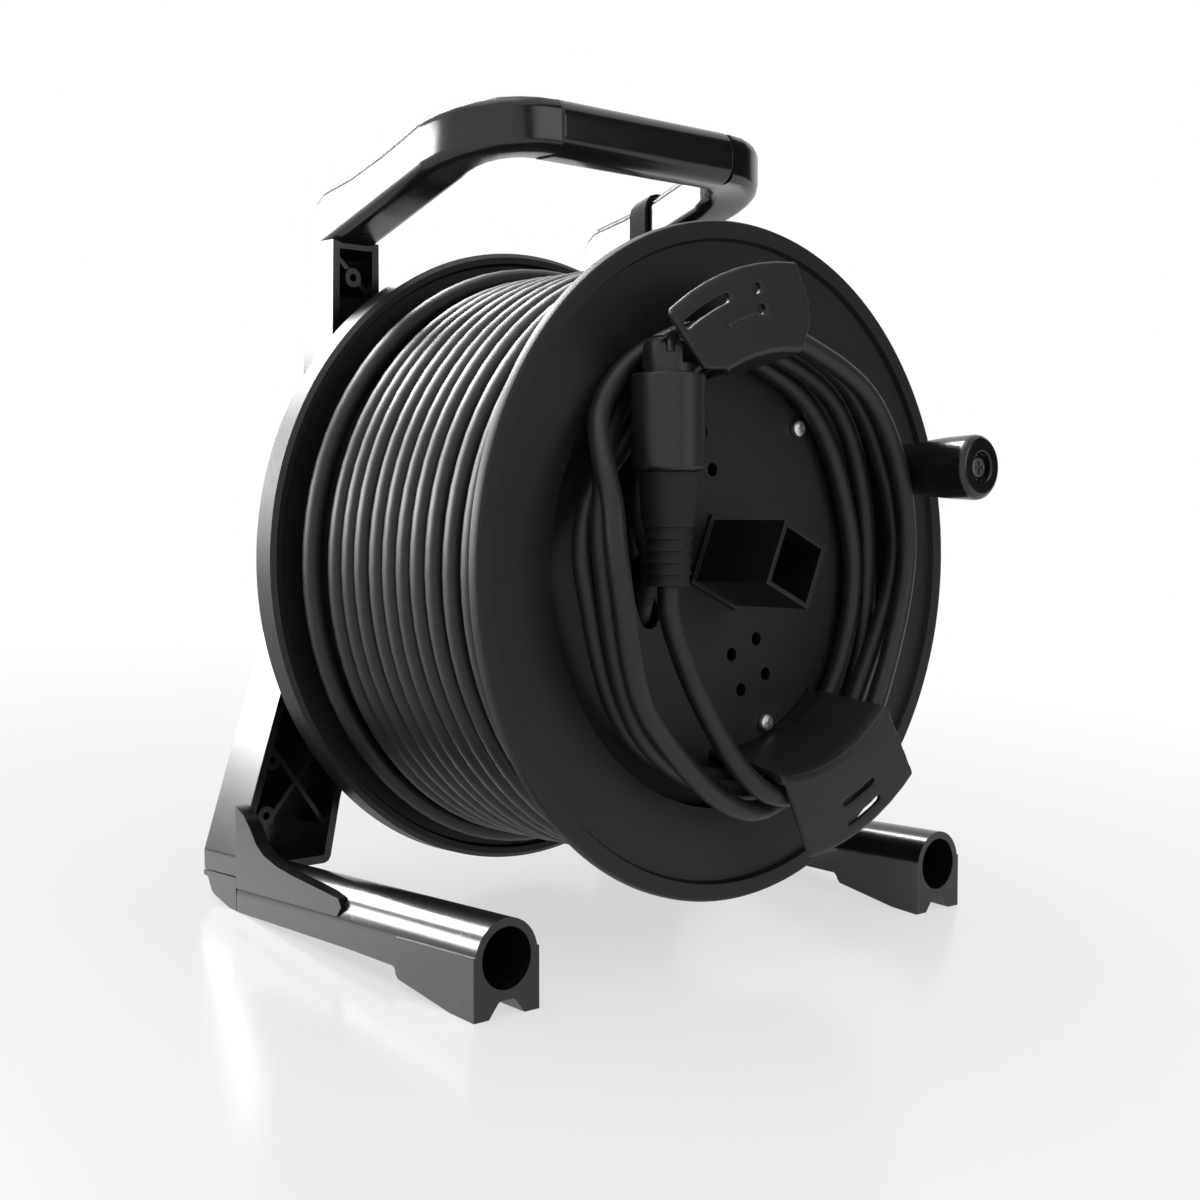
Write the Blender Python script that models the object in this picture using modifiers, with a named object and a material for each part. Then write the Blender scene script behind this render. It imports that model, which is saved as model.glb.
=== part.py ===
"""Network cable reel: a drum with a crank on a moulded standing frame.

Sizes are in metres, +Z is up. The reel is modelled in its own frame, with X across, Y from the
front to the back along the drum's axis, and the origin on that axis in the plane of the front
rim. The whole reel is then leaned back until its front blocks and its heels stand on the ground.
"""
import bmesh
import bpy
import numpy as np
from math import atan2, cos, hypot, pi, radians, sin, tan
from mathutils import Matrix, Vector

MM = 0.001
OBJECT_NAME = "network_cable_reel"

# Gaps between pieces
GAP = 0.3 * MM
RUNNING = 0.3 * MM

# Cable
CABLE_D = 7.2 * MM
TURN_GAP = 0.5 * MM
LOOP_POINTS = 24
CABLE_RES = 1

# Flanges and floor of the drum
FLANGE_R = 117.5 * MM
WALL = 2.3 * MM
FACE_IN = 2.0 * MM
FRONT_RIM_W = 7.2 * MM
REAR_LIP_W = 4.9 * MM
REAR_RIM_D = 11.1 * MM
RIM_ROUND = 1.6 * MM
DISH_R = 85.2 * MM
DISH_D = 8.0 * MM
LEDGE_R = 57.0 * MM
PANEL_T = 2.0 * MM
WINDING_W = 107.2 * MM
REAR_RIBS = 12
REAR_RIB_T = 1.8 * MM
REAR_RIB_H = 4.0 * MM
TURN_STEPS = 56

# Barrel and hub
BARREL_R = 68.0 * MM
BARREL_T = 3.0 * MM
HUB_R = 13.0 * MM
BUSH_R = 9.0 * MM
BUSH_L = 14.0 * MM
BUSH_FLANGE_R = 12.5 * MM
BUSH_FLANGE_T = 2.3 * MM
BARREL_RIBS = 6
BARREL_RIB_T = 2.4 * MM
BOSS_R = 3.6 * MM

# Screws of the drum
SCREW_CIRCLE = BARREL_R - 6.1 * MM
SCREW_ANGLES = (-90, 30, 150)
SCREW_R = 1.5 * MM
SCREW_HEAD_R = 3.2 * MM
SCREW_HEAD_H = 2.2 * MM
SCREW_L = 22.0 * MM

# Floor panel
HOLE_R = 2.5 * MM
HOLE_SPACING = 13.8 * MM
HOLE_CIRCLE = 39.0 * MM
SLOT_W = 9.2 * MM
SLOT_CIRCLE = 39.5 * MM
SLOT_FROM = 160
SLOT_TO = 185

# Square post on the axis
POST_SIDE = 23.0 * MM
POST_WALL = 1.7 * MM
POST_L = 34.1 * MM
POST_BASE_T = 2.3 * MM
POST_FOOT = 1.4 * MM

# Cable saddles
SADDLE_FRONT = -26.5 * MM
SADDLE_T = 2.2 * MM
SADDLE_FOOT_R = 66.0 * MM
SADDLE_NECK_R = 71.0 * MM
SADDLE_LIP_R = 101.0 * MM
LOWER_WALL = (-116, -67)
LOWER_WALL_FOOT = -67
LOWER_LIP = ((71.0, -116, 0), (102.0, -106, 4), (102.0, -71, 4), (71.0, -67, 0))
LOWER_SLOTS = ((87.7 * MM, 2.0 * MM, -93.5, -82.5), (95.2 * MM, 2.0 * MM, -93.5, -82.5))
UPPER_WALL = (67, 97)
UPPER_WALL_FOOT = 85
UPPER_LIP = ((71.6, 67, 0), (81.4, 64.6, 6), (89.0, 65.6, 6), (101.5, 69.8, 5), (100.0, 106.4, 5),
             (77.5, 104.2, 1), (71.0, 95, 0))
UPPER_SLOTS = ((93.2 * MM, 3.4 * MM, 91, 103.5),)
UPPER_HOLES = ((93.0 * MM, 81.6), (86.0 * MM, 81.0))
LIP_HOLE_R = 1.9 * MM
CREASE_CIRCLE = 84.4 * MM
CREASE_ANGLES = (80, 93)
CREASE_W = 0.9 * MM
CREASE_D = 0.8 * MM

# Crank
CRANK_CIRCLE = FLANGE_R - 22.7 * MM
DRUM_TURN = 21
SPINDLE_R = 4.0 * MM
SPINDLE_TAIL_R = 3.0 * MM
SPINDLE_COLLAR_R = 8.2 * MM
SPINDLE_COLLAR_T = 1.2 * MM
GRIP_BASE_R = 9.0 * MM
GRIP_END_R = 12.0 * MM
GRIP_L = 38.6 * MM
GRIP_ROUND = 3.0 * MM
GRIP_RECESS_R = 5.6 * MM
GRIP_RECESS_D = 4.2 * MM
CRANK_WASHER_R = 5.2 * MM
CRANK_WASHER_T = 0.8 * MM
CRANK_HEAD_R = 4.3 * MM
CRANK_HEAD_H = 2.2 * MM
CRANK_SCREW_R = 1.6 * MM
CRANK_SCREW_L = 12.0 * MM

# Axle
AXLE_R = 6.0 * MM
AXLE_COLLAR_R = 11.0 * MM
WASHER_T = 2.0 * MM
FRONT_WASHER_R = 8.4 * MM
AXLE_SCREW_R = 2.0 * MM
AXLE_SCREW_L = 14.0 * MM
AXLE_HEAD_R = 4.0 * MM
AXLE_HEAD_H = 3.2 * MM
NUT_R = 9.2 * MM
NUT_T = 5.4 * MM
NUT_RECESS_R = 13.4 * MM
REAR_WASHER_R = 11.8 * MM

# Standing frame
FRAME_GAP = 7.0 * MM
FRAME_D = 22.0 * MM
FRAME_T = 3.0 * MM
FRAME_RIB_T = 1.8 * MM
RIB_BELOW = 4.0 * MM
HUB_BOSS_R = 24.0 * MM
HUB_WEB_T = 13.4 * MM
BRIDGE_TOP = 38.0 * MM
BRIDGE_BOTTOM = -42.0 * MM
POST_IN = 58.0 * MM
ARM_W = 20.5 * MM
POST_TOP = 117.5 * MM
LEG_KNEE_X = 80.0 * MM
LEG_KNEE_Z = 22.0 * MM
LEG_TOE_IN = 82.0 * MM
LEG_CALF_IN = 76.5 * MM
LEG_CALF_Z = -88.0 * MM
LEG_THIGH_IN = 64.0 * MM
LEG_THIGH_Z = -62.0 * MM
LEG_BOTTOM = -112.0 * MM
FRAME_BOSS_R = 3.6 * MM
FRAME_BOSS_BORE = 1.5 * MM
LEG_BOSSES = ((105.0 * MM, -72.0 * MM), (108.0 * MM, -92.0 * MM))
TOP_BOSS_BELOW = 13.0 * MM

# Handle
ARM_H = 20.0 * MM
ARM_SLOPE = 0.342
BAR_Y = 53.0 * MM
BAR_BOTTOM = 141.4 * MM
BAR_H = 18.8 * MM
BAR_W = 19.6 * MM
BEND_R = 26.0 * MM
GRIP_HALF = 43.0 * MM
GRIP_PROUD = 0.5 * MM
CORE_R = 6.5 * MM
STRAP_Y = 108.0 * MM
STRAP_W = 9.0 * MM
STRAP_T = 1.8 * MM
STRAP_BOW = 3.5 * MM

# Feet
FOOT_X = 109.6 * MM
FOOT_Z = -119.0 * MM
FOOT_R = 12.6 * MM
FOOT_BORE_R = 9.84 * MM
FOOT_FRONT = -4.7 * MM
FOOT_UNDER_FRONT = -126.8 * MM
FOOT_UNDER_REAR = -124.3 * MM
BLOCK_L = 36.7 * MM
BLOCK_STEP = 2.4 * MM
BLOCK_BOTTOM = -136.9 * MM
BLOCK_PROUD = 0.6 * MM
BLOCK_TOP = -117.0 * MM
BLOCK_BEVEL_L = 3.2 * MM
BLOCK_LEVEL_L = 9.0 * MM
NOTCH_W = 15.0 * MM
NOTCH_H = 4.6 * MM
FOOT_BORE_L = 34.5 * MM
FOOT_WEB_L = 12.0 * MM
FIN_T = 5.4 * MM
FIN_TOP = -86.5 * MM
FIN_REACH = 65.0 * MM
FIN_TAIL_Z = -110.0 * MM
FIN_LOWER_Z = -114.0 * MM
CAP_ROUND = 9.0 * MM
GROUND_CUT = 0.3 * MM
CAP_SCREW_R = 1.6 * MM
CAP_SCREW_HEAD_R = 2.8 * MM
CAP_SCREW_HEAD_H = 1.8 * MM
LEG_SCREW_R = 2.0 * MM
LEG_SCREW_L = 7.0 * MM
LEG_SCREW_HEAD_R = 3.8 * MM
LEG_SCREW_HEAD_H = 2.6 * MM

# Wound cable
WINDING_R = DISH_R + 17.2 * MM
WINDING_TURNS = 12
WINDING_START = -20
TUCK_R = 7.0 * MM
REAR_TURN_RISE = 4.2 * MM
REAR_TURN_SPACE = 2.4 * MM
FRONT_TURN_SPACE = 3.2 * MM

# Connector on the stored cable
PLUG_X = -49.5 * MM
PLUG_Y = -14.5 * MM
PLUG_SHELL_TOP = 62.0 * MM
PLUG_SHELL_R = 12.0 * MM
PLUG_SHELL_L = 31.0 * MM
PLUG_GROOVE_L = 3.0 * MM
PLUG_GROOVE_R = 9.6 * MM
PLUG_WALL = 2.6 * MM
BUSHING_R = 9.3 * MM
BUSHING_END_R = 7.6 * MM
BUSHING_L = 37.0 * MM
BUSHING_RIBS = 5
BUSHING_RIB_PITCH = 3.8 * MM
BUSHING_RIB_D = 0.9 * MM
INSERT_W = 11.8 * MM
INSERT_D = 8.4 * MM
INSERT_OUT = 11.0 * MM
LATCH_L = 13.0 * MM
LATCH_W = 5.0 * MM
LATCH_T = 0.9 * MM

# Sizes shared by more than one piece
ARM_X = 68.25 * MM
ARM_ROUND = 4.5 * MM
BAR_ROUND = 7.0 * MM
ARM_TOP = ((143.4 * MM, 121.5 * MM), (142.2 * MM, 130.0 * MM), (140.0 * MM, 134.0 * MM),
           (136.0 * MM, 136.9 * MM), (118.5 * MM, 140.5 * MM),
           (100.0 * MM, 146.0 * MM), (85.0 * MM, 151.5 * MM), (70.0 * MM, 157.0 * MM))
POST_THINNER = 7.0 * MM
FRAME_RIBS = (((84, -8), (104, -62)), ((96, -34), (76, -72)), ((80, -100), (105, -66)),
              ((84, -70), (118, -108)), ((59, 98), (78, 116)), ((20, 32), (52, -38)),
              ((24, -30), (58, 52)))
INSERT_R = 8.3 * MM
LATCH_RISE = 2.6 * MM
LATCH_SLOPE = 22
SPINDLE_TIP = -33.5 * MM
CAP_SCREW_Z = -117.2 * MM
CAP_SCREW_SEAT = 140.0 * MM
CAP_SCREW_L = 20.0 * MM
LEG_SCREW_X = 103.6 * MM
LEG_SCREW_Y = 140.6 * MM
FIN_OUT = FOOT_X + FOOT_R + 0.1 * MM
NOTCH_HALF = 9.6 * MM
NOTCH_TOP_HALF = 3.0 * MM
NOTCH_TOP = -132.0 * MM
SLOT_AT = 176
SLOT_DIVE = 32
WALL_STEP_Y = -11.0 * MM
INNER_CABLE_ANGLE = 180
INNER_CABLE_Y = 36.0 * MM
LOOPS = 4.2

# Stance: the reel leans back on its front blocks and its heels
GROUND_FRONT_Y = -2.0 * MM
GROUND_FRONT = -136.8 * MM
GROUND_REAR_Y = 127.3 * MM
GROUND_REAR = -124.45 * MM
LEAN = atan2(GROUND_REAR - GROUND_FRONT, GROUND_REAR_Y - GROUND_FRONT_Y)
LIFT = -(GROUND_FRONT - GROUND_FRONT_Y * tan(LEAN)) * cos(LEAN)
SHIFT_Y = -59.63 * MM

# Places along the axis, worked out from the sizes above
Y_FACE = FACE_IN
Y_FACE_BACK = Y_FACE + WALL
Y_PANEL = DISH_D
Y_PANEL_BACK = Y_PANEL + PANEL_T
Y_LEDGE = Y_PANEL_BACK + GAP
Y_LEDGE_BACK = Y_LEDGE + WALL
Y_BARREL = Y_LEDGE_BACK + GAP
Y_REAR = Y_FACE_BACK + WINDING_W
Y_REAR_FACE = Y_REAR + FACE_IN
Y_REAR_BACK = Y_REAR_FACE + WALL
Y_BARREL_END = Y_REAR_FACE - GAP
Y_RIM_END = Y_REAR + REAR_RIM_D
Y_FRAME = Y_RIM_END + FRAME_GAP
Y_FRAME_BACK = Y_FRAME + FRAME_D
CABLE_R = CABLE_D / 2
AXLE_FRONT = Y_PANEL - GAP - POST_BASE_T
Y_NUT = Y_FRAME + HUB_WEB_T + WASHER_T + 2 * GAP
Y_NUT_END = Y_NUT + NUT_T


def new_collection(name):
    found = bpy.data.collections.get(name) or bpy.data.collections.new(name)
    if name not in bpy.context.scene.collection.children:
        bpy.context.scene.collection.children.link(found)
    return found


for old in list(bpy.data.objects):
    bpy.data.objects.remove(old, do_unlink=True)
PARTS = new_collection(OBJECT_NAME)
CUTTERS = new_collection(OBJECT_NAME + "_cutters")


# Materials: one Principled material for each piece

FINISHES = {
    "black_plastic": ((0.020, 0.021, 0.022, 1), 0.42, 0.0),
    "gloss_plastic": ((0.014, 0.015, 0.016, 1), 0.28, 0.0),
    "soft_grip": ((0.017, 0.017, 0.018, 1), 0.62, 0.0),
    "cable_jacket": ((0.026, 0.027, 0.028, 1), 0.58, 0.0),
    "bright_steel": ((0.62, 0.62, 0.61, 1), 0.30, 1.0),
    "brass": ((0.55, 0.42, 0.20, 1), 0.35, 1.0),
    "clear_grey": ((0.20, 0.21, 0.22, 1), 0.25, 0.0),
}


def give_material(obj, finish):
    colour, rough, metal = FINISHES[finish]
    mat = bpy.data.materials.new(obj.name)
    mat.use_nodes = True
    shader = mat.node_tree.nodes["Principled BSDF"]
    shader.inputs["Base Color"].default_value = colour
    shader.inputs["Roughness"].default_value = rough
    shader.inputs["Metallic"].default_value = metal
    mat.diffuse_color = colour
    obj.data.materials.clear()
    obj.data.materials.append(mat)
    return obj


# Building blocks

def mesh_object(name, bm):
    mesh = bpy.data.meshes.new(name)
    bm.to_mesh(mesh)
    bm.free()
    mesh.shade_smooth()
    mesh.set_sharp_from_angle(angle=radians(32))
    obj = bpy.data.objects.new(name, mesh)
    PARTS.objects.link(obj)
    return obj


def block(name, size, centre, turn_y=0.0):
    """A box; turn_y turns it about the Y axis, in degrees."""
    bm = bmesh.new()
    bmesh.ops.create_cube(bm, size=1)
    bmesh.ops.scale(bm, vec=size, verts=bm.verts)
    obj = mesh_object(name, bm)
    obj.location = centre
    obj.rotation_euler = (0, radians(turn_y), 0)
    return obj


AXES = {"X": Matrix.Rotation(pi / 2, 4, "Y"), "Y": Matrix.Rotation(-pi / 2, 4, "X"), "Z": Matrix()}


def rod(name, radius, start, end, axis="Y", at=(0, 0), sides=24, radius_end=None):
    """A cylinder or cone between two places along an axis; at holds its two other coordinates."""
    bm = bmesh.new()
    wide = radius if radius_end is None else radius_end
    bmesh.ops.create_cone(bm, cap_ends=True, segments=sides, radius1=radius, radius2=wide,
                          depth=end - start)
    obj = mesh_object(name, bm)
    middle = (start + end) / 2
    places = {"X": (middle, at[0], at[1]), "Y": (at[0], middle, at[1]), "Z": (at[0], at[1], middle)}
    obj.matrix_world = Matrix.Translation(places[axis]) @ AXES[axis]
    return obj


def turned(name, profile, steps=TURN_STEPS):
    """A closed profile of (radius, y) points turned about the Y axis."""
    mesh = bpy.data.meshes.new(name)
    points = [(r, 0, y) for r, y in profile]
    count = len(points)
    mesh.from_pydata(points, [(i, (i + 1) % count) for i in range(count)], [])
    obj = bpy.data.objects.new(name, mesh)
    PARTS.objects.link(obj)
    obj.rotation_euler = (-pi / 2, 0, 0)
    spin = obj.modifiers.new("turn", "SCREW")
    spin.axis = "Z"
    spin.angle = 2 * pi
    spin.steps = steps
    spin.render_steps = steps
    spin.use_merge_vertices = True
    spin.merge_threshold = 0.00001
    spin.use_smooth_shade = True
    return obj


def turned_solid(name, profile, steps=TURN_STEPS):
    """A profile that starts and ends on the axis, turned about Y; it is left open at the axis."""
    mesh = bpy.data.meshes.new(name)
    points = [(r, 0, y) for r, y in profile]
    mesh.from_pydata(points, [(i, i + 1) for i in range(len(points) - 1)], [])
    obj = bpy.data.objects.new(name, mesh)
    PARTS.objects.link(obj)
    obj.rotation_euler = (-pi / 2, 0, 0)
    spin = obj.modifiers.new("turn", "SCREW")
    spin.axis = "Z"
    spin.angle = 2 * pi
    spin.steps = steps
    spin.render_steps = steps
    spin.use_merge_vertices = True
    spin.merge_threshold = 0.00001
    spin.use_smooth_shade = True
    return obj


def as_mesh(obj):
    """The evaluated object as a mesh with its loose caps welded."""
    bpy.context.view_layer.update()
    seen = obj.evaluated_get(bpy.context.evaluated_depsgraph_get())
    mesh = bpy.data.meshes.new_from_object(seen)
    bm = bmesh.new()
    bm.from_mesh(mesh)
    bmesh.ops.remove_doubles(bm, verts=bm.verts, dist=0.000005)
    bm.to_mesh(mesh)
    bm.free()
    mesh.shade_smooth()
    mesh.set_sharp_from_angle(angle=radians(32))
    name = obj.name
    place = obj.matrix_world.copy()
    bpy.data.objects.remove(obj, do_unlink=True)
    solid = bpy.data.objects.new(name, mesh)
    PARTS.objects.link(solid)
    solid.matrix_world = place
    return solid


def flat_shape(name, outlines, start, end, axis="Y"):
    """Outlines in the XZ plane (or YZ for axis X), filled and extruded from start to end."""
    curve = bpy.data.curves.new(name, "CURVE")
    curve.dimensions = "2D"
    curve.fill_mode = "BOTH"
    curve.extrude = (end - start) / 2
    for outline in outlines:
        spline = curve.splines.new("POLY")
        spline.points.add(len(outline) - 1)
        for point, (u, v) in zip(spline.points, outline):
            point.co = (u, -v, 0, 1) if axis == "Y" else (u, v, 0, 1)
        spline.use_cyclic_u = True
    obj = bpy.data.objects.new(name, curve)
    PARTS.objects.link(obj)
    middle = (start + end) / 2
    if axis == "Y":
        obj.matrix_world = Matrix.Translation((0, middle, 0)) @ AXES["Y"]
    elif axis == "X":
        turn = Matrix(((0, 0, 1, 0), (1, 0, 0, 0), (0, 1, 0, 0), (0, 0, 0, 1)))
        obj.matrix_world = Matrix.Translation((middle, 0, 0)) @ turn
    return as_mesh(obj)


def tube(name, points, radius, resolution=CABLE_RES):
    """A round tube with filled ends along the points."""
    curve = bpy.data.curves.new(name, "CURVE")
    curve.dimensions = "3D"
    curve.bevel_depth = radius
    curve.bevel_resolution = resolution
    curve.use_fill_caps = True
    spline = curve.splines.new("POLY")
    spline.points.add(len(points) - 1)
    for knot, place in zip(spline.points, points):
        knot.co = (*place, 1)
    obj = bpy.data.objects.new(name, curve)
    PARTS.objects.link(obj)
    return obj


def hide_cutter(cutter):
    for home in list(cutter.users_collection):
        home.objects.unlink(cutter)
    CUTTERS.objects.link(cutter)
    cutter.hide_render = True
    cutter.display_type = "WIRE"


def combine(obj, other, operation):
    mod = obj.modifiers.new(other.name, "BOOLEAN")
    mod.operation = operation
    mod.object = other
    hide_cutter(other)
    return obj


def cut(obj, *cutters):
    for cutter in cutters:
        combine(obj, cutter, "DIFFERENCE")
    return obj


def fuse(obj, *others):
    for other in others:
        combine(obj, other, "UNION")
    return obj


def keep_inside(obj, shape):
    return combine(obj, shape, "INTERSECT")


# Plane geometry

def polar(radius, degrees):
    return radius * cos(radians(degrees)), radius * sin(radians(degrees))


def circle(radius, centre=(0, 0), count=32, start=0.0):
    return [(centre[0] + radius * cos(start + 2 * pi * i / count),
             centre[1] + radius * sin(start + 2 * pi * i / count)) for i in range(count)]


def arc(radius, from_deg, to_deg, count, centre=(0, 0)):
    out = []
    for i in range(count + 1):
        x, z = polar(radius, from_deg + (to_deg - from_deg) * i / count)
        out.append((centre[0] + x, centre[1] + z))
    return out


def rounded(corners, steps=5, small=0.0):
    """A closed outline of (x, z, radius) corners; a radius up to small gets two steps."""
    out = []
    count = len(corners)
    for i, (x, z, radius) in enumerate(corners):
        here = Vector((x, z))
        back = (Vector(corners[i - 1][:2]) - here)
        ahead = (Vector(corners[(i + 1) % count][:2]) - here)
        if radius <= 0:
            out.append((x, z))
            continue
        angle = back.angle(ahead)
        reach = min(radius / tan(angle / 2), 0.49 * back.length, 0.49 * ahead.length)
        true_radius = reach * tan(angle / 2)
        centre = here + (back.normalized() + ahead.normalized()).normalized() * (
            hypot(true_radius, reach))
        first = here + back.normalized() * reach - centre
        last = here + ahead.normalized() * reach - centre
        a = atan2(first.y, first.x)
        b = atan2(last.y, last.x)
        turn = (b - a + pi) % (2 * pi) - pi
        parts = 2 if radius <= small else steps
        for k in range(parts + 1):
            at = a + turn * k / parts
            out.append((centre.x + true_radius * cos(at), centre.y + true_radius * sin(at)))
    return out


def area(outline):
    return sum(a[0] * b[1] - b[0] * a[1] for a, b in zip(outline, outline[1:] + outline[:1])) / 2


def inset(outline, depth):
    """The outline moved inwards by depth, with its corners mitred."""
    way = 1 if area(outline) > 0 else -1
    out = []
    count = len(outline)
    for i, point in enumerate(outline):
        here = Vector(point)
        before = (here - Vector(outline[i - 1])).normalized()
        after = (Vector(outline[(i + 1) % count]) - here).normalized()
        n1 = Vector((-before.y, before.x)) * way
        n2 = Vector((-after.y, after.x)) * way
        both = n1 + n2
        both /= max(both.length_squared / 2, 0.35)
        out.append(tuple(here + both * depth))
    return out


def arc_slot(radius, width, from_deg, to_deg, steps=8):
    """A slot of the given width that follows a circle, with round ends."""
    start = polar(radius, from_deg)
    end = polar(radius, to_deg)
    out = arc(radius + width / 2, from_deg, to_deg, steps)
    out += arc(width / 2, to_deg, to_deg + 180, 5, end)[1:-1]
    out += arc(radius - width / 2, to_deg, from_deg, steps)
    out += arc(width / 2, from_deg + 180, from_deg + 360, 5, start)[1:-1]
    return out


def smooth(points, count):
    """Points at even steps along a smooth curve through the given points."""
    ends = [points[0] * 2 - points[1]] + list(points) + [points[-1] * 2 - points[-2]]
    fine = []
    for i in range(1, len(ends) - 2):
        p0, p1, p2, p3 = ends[i - 1:i + 3]
        for k in range(24):
            t = k / 24
            fine.append(0.5 * (2 * p1 + (p2 - p0) * t + (2 * p0 - 5 * p1 + 4 * p2 - p3) * t ** 2
                               + (3 * p1 - p0 - 3 * p2 + p3) * t ** 3))
    fine.append(points[-1])
    lengths = [0.0]
    for a, b in zip(fine, fine[1:]):
        lengths.append(lengths[-1] + (b - a).length)
    out = []
    k = 0
    for i in range(count):
        want = lengths[-1] * i / (count - 1)
        while k < len(fine) - 2 and lengths[k + 1] < want:
            k += 1
        span = lengths[k + 1] - lengths[k]
        out.append(fine[k].lerp(fine[k + 1], (want - lengths[k]) / span if span else 0))
    return out


def loft(name, rings):
    """A solid through closed rings of points, each with the same count, capped at both ends."""
    bm = bmesh.new()
    rows = [[bm.verts.new(p) for p in ring] for ring in rings]
    for row, after in zip(rows, rows[1:]):
        for i in range(len(row)):
            j = (i + 1) % len(row)
            bm.faces.new((row[i], row[j], after[j], after[i]))
    bm.faces.new(list(reversed(rows[0])))
    bm.faces.new(rows[-1])
    bmesh.ops.recalc_face_normals(bm, faces=bm.faces)
    return mesh_object(name, bm)


def rounded_section(width, height, radius, steps=3):
    """A rounded rectangle about the origin, as (across, up) pairs, with a fixed count."""
    radius = min(radius, width / 2 - 0.0001, height / 2 - 0.0001)
    out = []
    for sx, sz, start in ((1, -1, -90), (1, 1, 0), (-1, 1, 90), (-1, -1, 180)):
        centre = (sx * (width / 2 - radius), sz * (height / 2 - radius))
        out += arc(radius, start, start + 90, steps, centre)
    return out


def pan_head(name, at, seat, head_r, head_h, shaft_r, length, way=1):
    """A pan-head screw along Y: its head stands on seat, its shaft runs the other way."""
    profile = [(0, seat + way * length), (shaft_r, seat + way * length), (shaft_r, seat),
               (head_r, seat), (head_r, seat - way * head_h * 0.45),
               (head_r * 0.8, seat - way * head_h * 0.85), (0, seat - way * head_h)]
    if way < 0:
        profile.reverse()
    screw = turned_solid(name, profile, steps=10)
    screw.location = (at[0], 0, at[1])
    return screw


# Drum: pieces are made at the drum's own angles, with the crank at 0 degrees

def make_front_flange():
    rim_in = FLANGE_R - FRONT_RIM_W
    step_r = DISH_R + WALL
    profile = [(LEDGE_R, Y_LEDGE_BACK), (step_r, Y_LEDGE_BACK), (step_r, Y_FACE_BACK),
               (FLANGE_R - RIM_ROUND / 2, Y_FACE_BACK), (FLANGE_R, Y_FACE_BACK - RIM_ROUND / 2),
               (FLANGE_R, RIM_ROUND), (FLANGE_R - RIM_ROUND * 0.3, RIM_ROUND * 0.3),
               (FLANGE_R - RIM_ROUND, 0), (rim_in + RIM_ROUND * 0.6, 0), (rim_in, Y_FACE),
               (DISH_R, Y_FACE), (DISH_R, Y_LEDGE), (LEDGE_R, Y_LEDGE)]
    flange = turned("front_flange", profile)
    tail = rod("spindle_hole", SPINDLE_TAIL_R + RUNNING, Y_FACE - WALL, Y_FACE_BACK + WALL,
               at=(CRANK_CIRCLE, 0))
    holes = [rod("ledge_hole", SCREW_R + GAP, Y_LEDGE - WALL, Y_LEDGE_BACK + WALL,
                 at=polar(SCREW_CIRCLE, a), sides=12) for a in SCREW_ANGLES]
    cut(flange, tail, *holes)
    return give_material(flange, "black_plastic")


def make_rear_flange():
    centre_r = BUSH_FLANGE_R + 7.5 * MM
    lip_in = FLANGE_R - REAR_LIP_W
    wall_in = FLANGE_R - WALL
    profile = [(wall_in, Y_RIM_END), (FLANGE_R - RIM_ROUND * 0.5, Y_RIM_END),
               (FLANGE_R, Y_RIM_END - RIM_ROUND * 0.5), (FLANGE_R, Y_REAR + RIM_ROUND),
               (FLANGE_R - RIM_ROUND, Y_REAR), (lip_in + RIM_ROUND * 0.6, Y_REAR),
               (lip_in, Y_REAR_FACE), (centre_r, Y_REAR_FACE),
               (centre_r, Y_REAR_BACK), (wall_in, Y_REAR_BACK)]
    flange = turned("rear_flange", profile)
    inner = BARREL_R
    length = wall_in - inner + WALL / 2
    for i in range(REAR_RIBS):
        angle = 360 * (i + 0.5) / REAR_RIBS
        x, z = polar(inner + length / 2, angle)
        rib = block("rear_rib", (length, REAR_RIB_H + WALL / 2, REAR_RIB_T),
                    (x, Y_REAR_BACK + REAR_RIB_H / 2 - WALL / 4, z), -angle)
        fuse(flange, rib)
    holes = [rod("rear_hole", SCREW_R + GAP, Y_REAR_FACE - WALL, Y_REAR_BACK + WALL,
                 at=polar(SCREW_CIRCLE, a), sides=12) for a in SCREW_ANGLES]
    cut(flange, *holes)
    return give_material(flange, "black_plastic")


def make_barrel():
    inner = BARREL_R - BARREL_T
    half = BARREL_RIB_T / 2
    outlines = [circle(BARREL_R, count=36), circle(BUSH_R + GAP, count=20)]
    step = 360 / BARREL_RIBS
    for i in range(BARREL_RIBS):
        middle = i * step
        low = step / 2 - asin_deg(half / HUB_R)
        high = step / 2 - asin_deg(half / inner)
        outlines.append(arc(HUB_R, middle - low, middle + low, 4)
                        + arc(inner, middle + high, middle - high, 7))
    barrel = flat_shape("drum_barrel", outlines, Y_BARREL, Y_BARREL_END)
    for place in SCREW_ANGLES:
        fuse(barrel, rod("boss", BOSS_R, Y_BARREL, Y_BARREL_END, at=polar(SCREW_CIRCLE, place),
                         sides=12))
    deep = SCREW_L + 2 * MM
    for place in SCREW_ANGLES:
        at = polar(SCREW_CIRCLE, place)
        cut(barrel, rod("front_bore", SCREW_R + GAP, Y_BARREL - WALL, Y_PANEL + deep, at=at, sides=12),
            rod("rear_bore", SCREW_R + GAP, Y_REAR_BACK - deep, Y_BARREL_END + WALL, at=at, sides=12))
    x, z = polar(1, INNER_CABLE_ANGLE)
    way = Vector((x, 0, z))
    outlet = rod("cable_outlet", CABLE_R + 2 * GAP, -BARREL_T * 2, BARREL_T * 2, axis="Z", sides=12)
    outlet.matrix_world = (Matrix.Translation(way * BARREL_R + Vector((0, INNER_CABLE_Y, 0)))
                           @ way.to_track_quat("Z", "Y").to_matrix().to_4x4())
    cut(barrel, outlet)
    return give_material(barrel, "black_plastic")


def asin_deg(value):
    return atan2(value, (1 - value * value) ** 0.5) * 180 / pi


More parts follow.
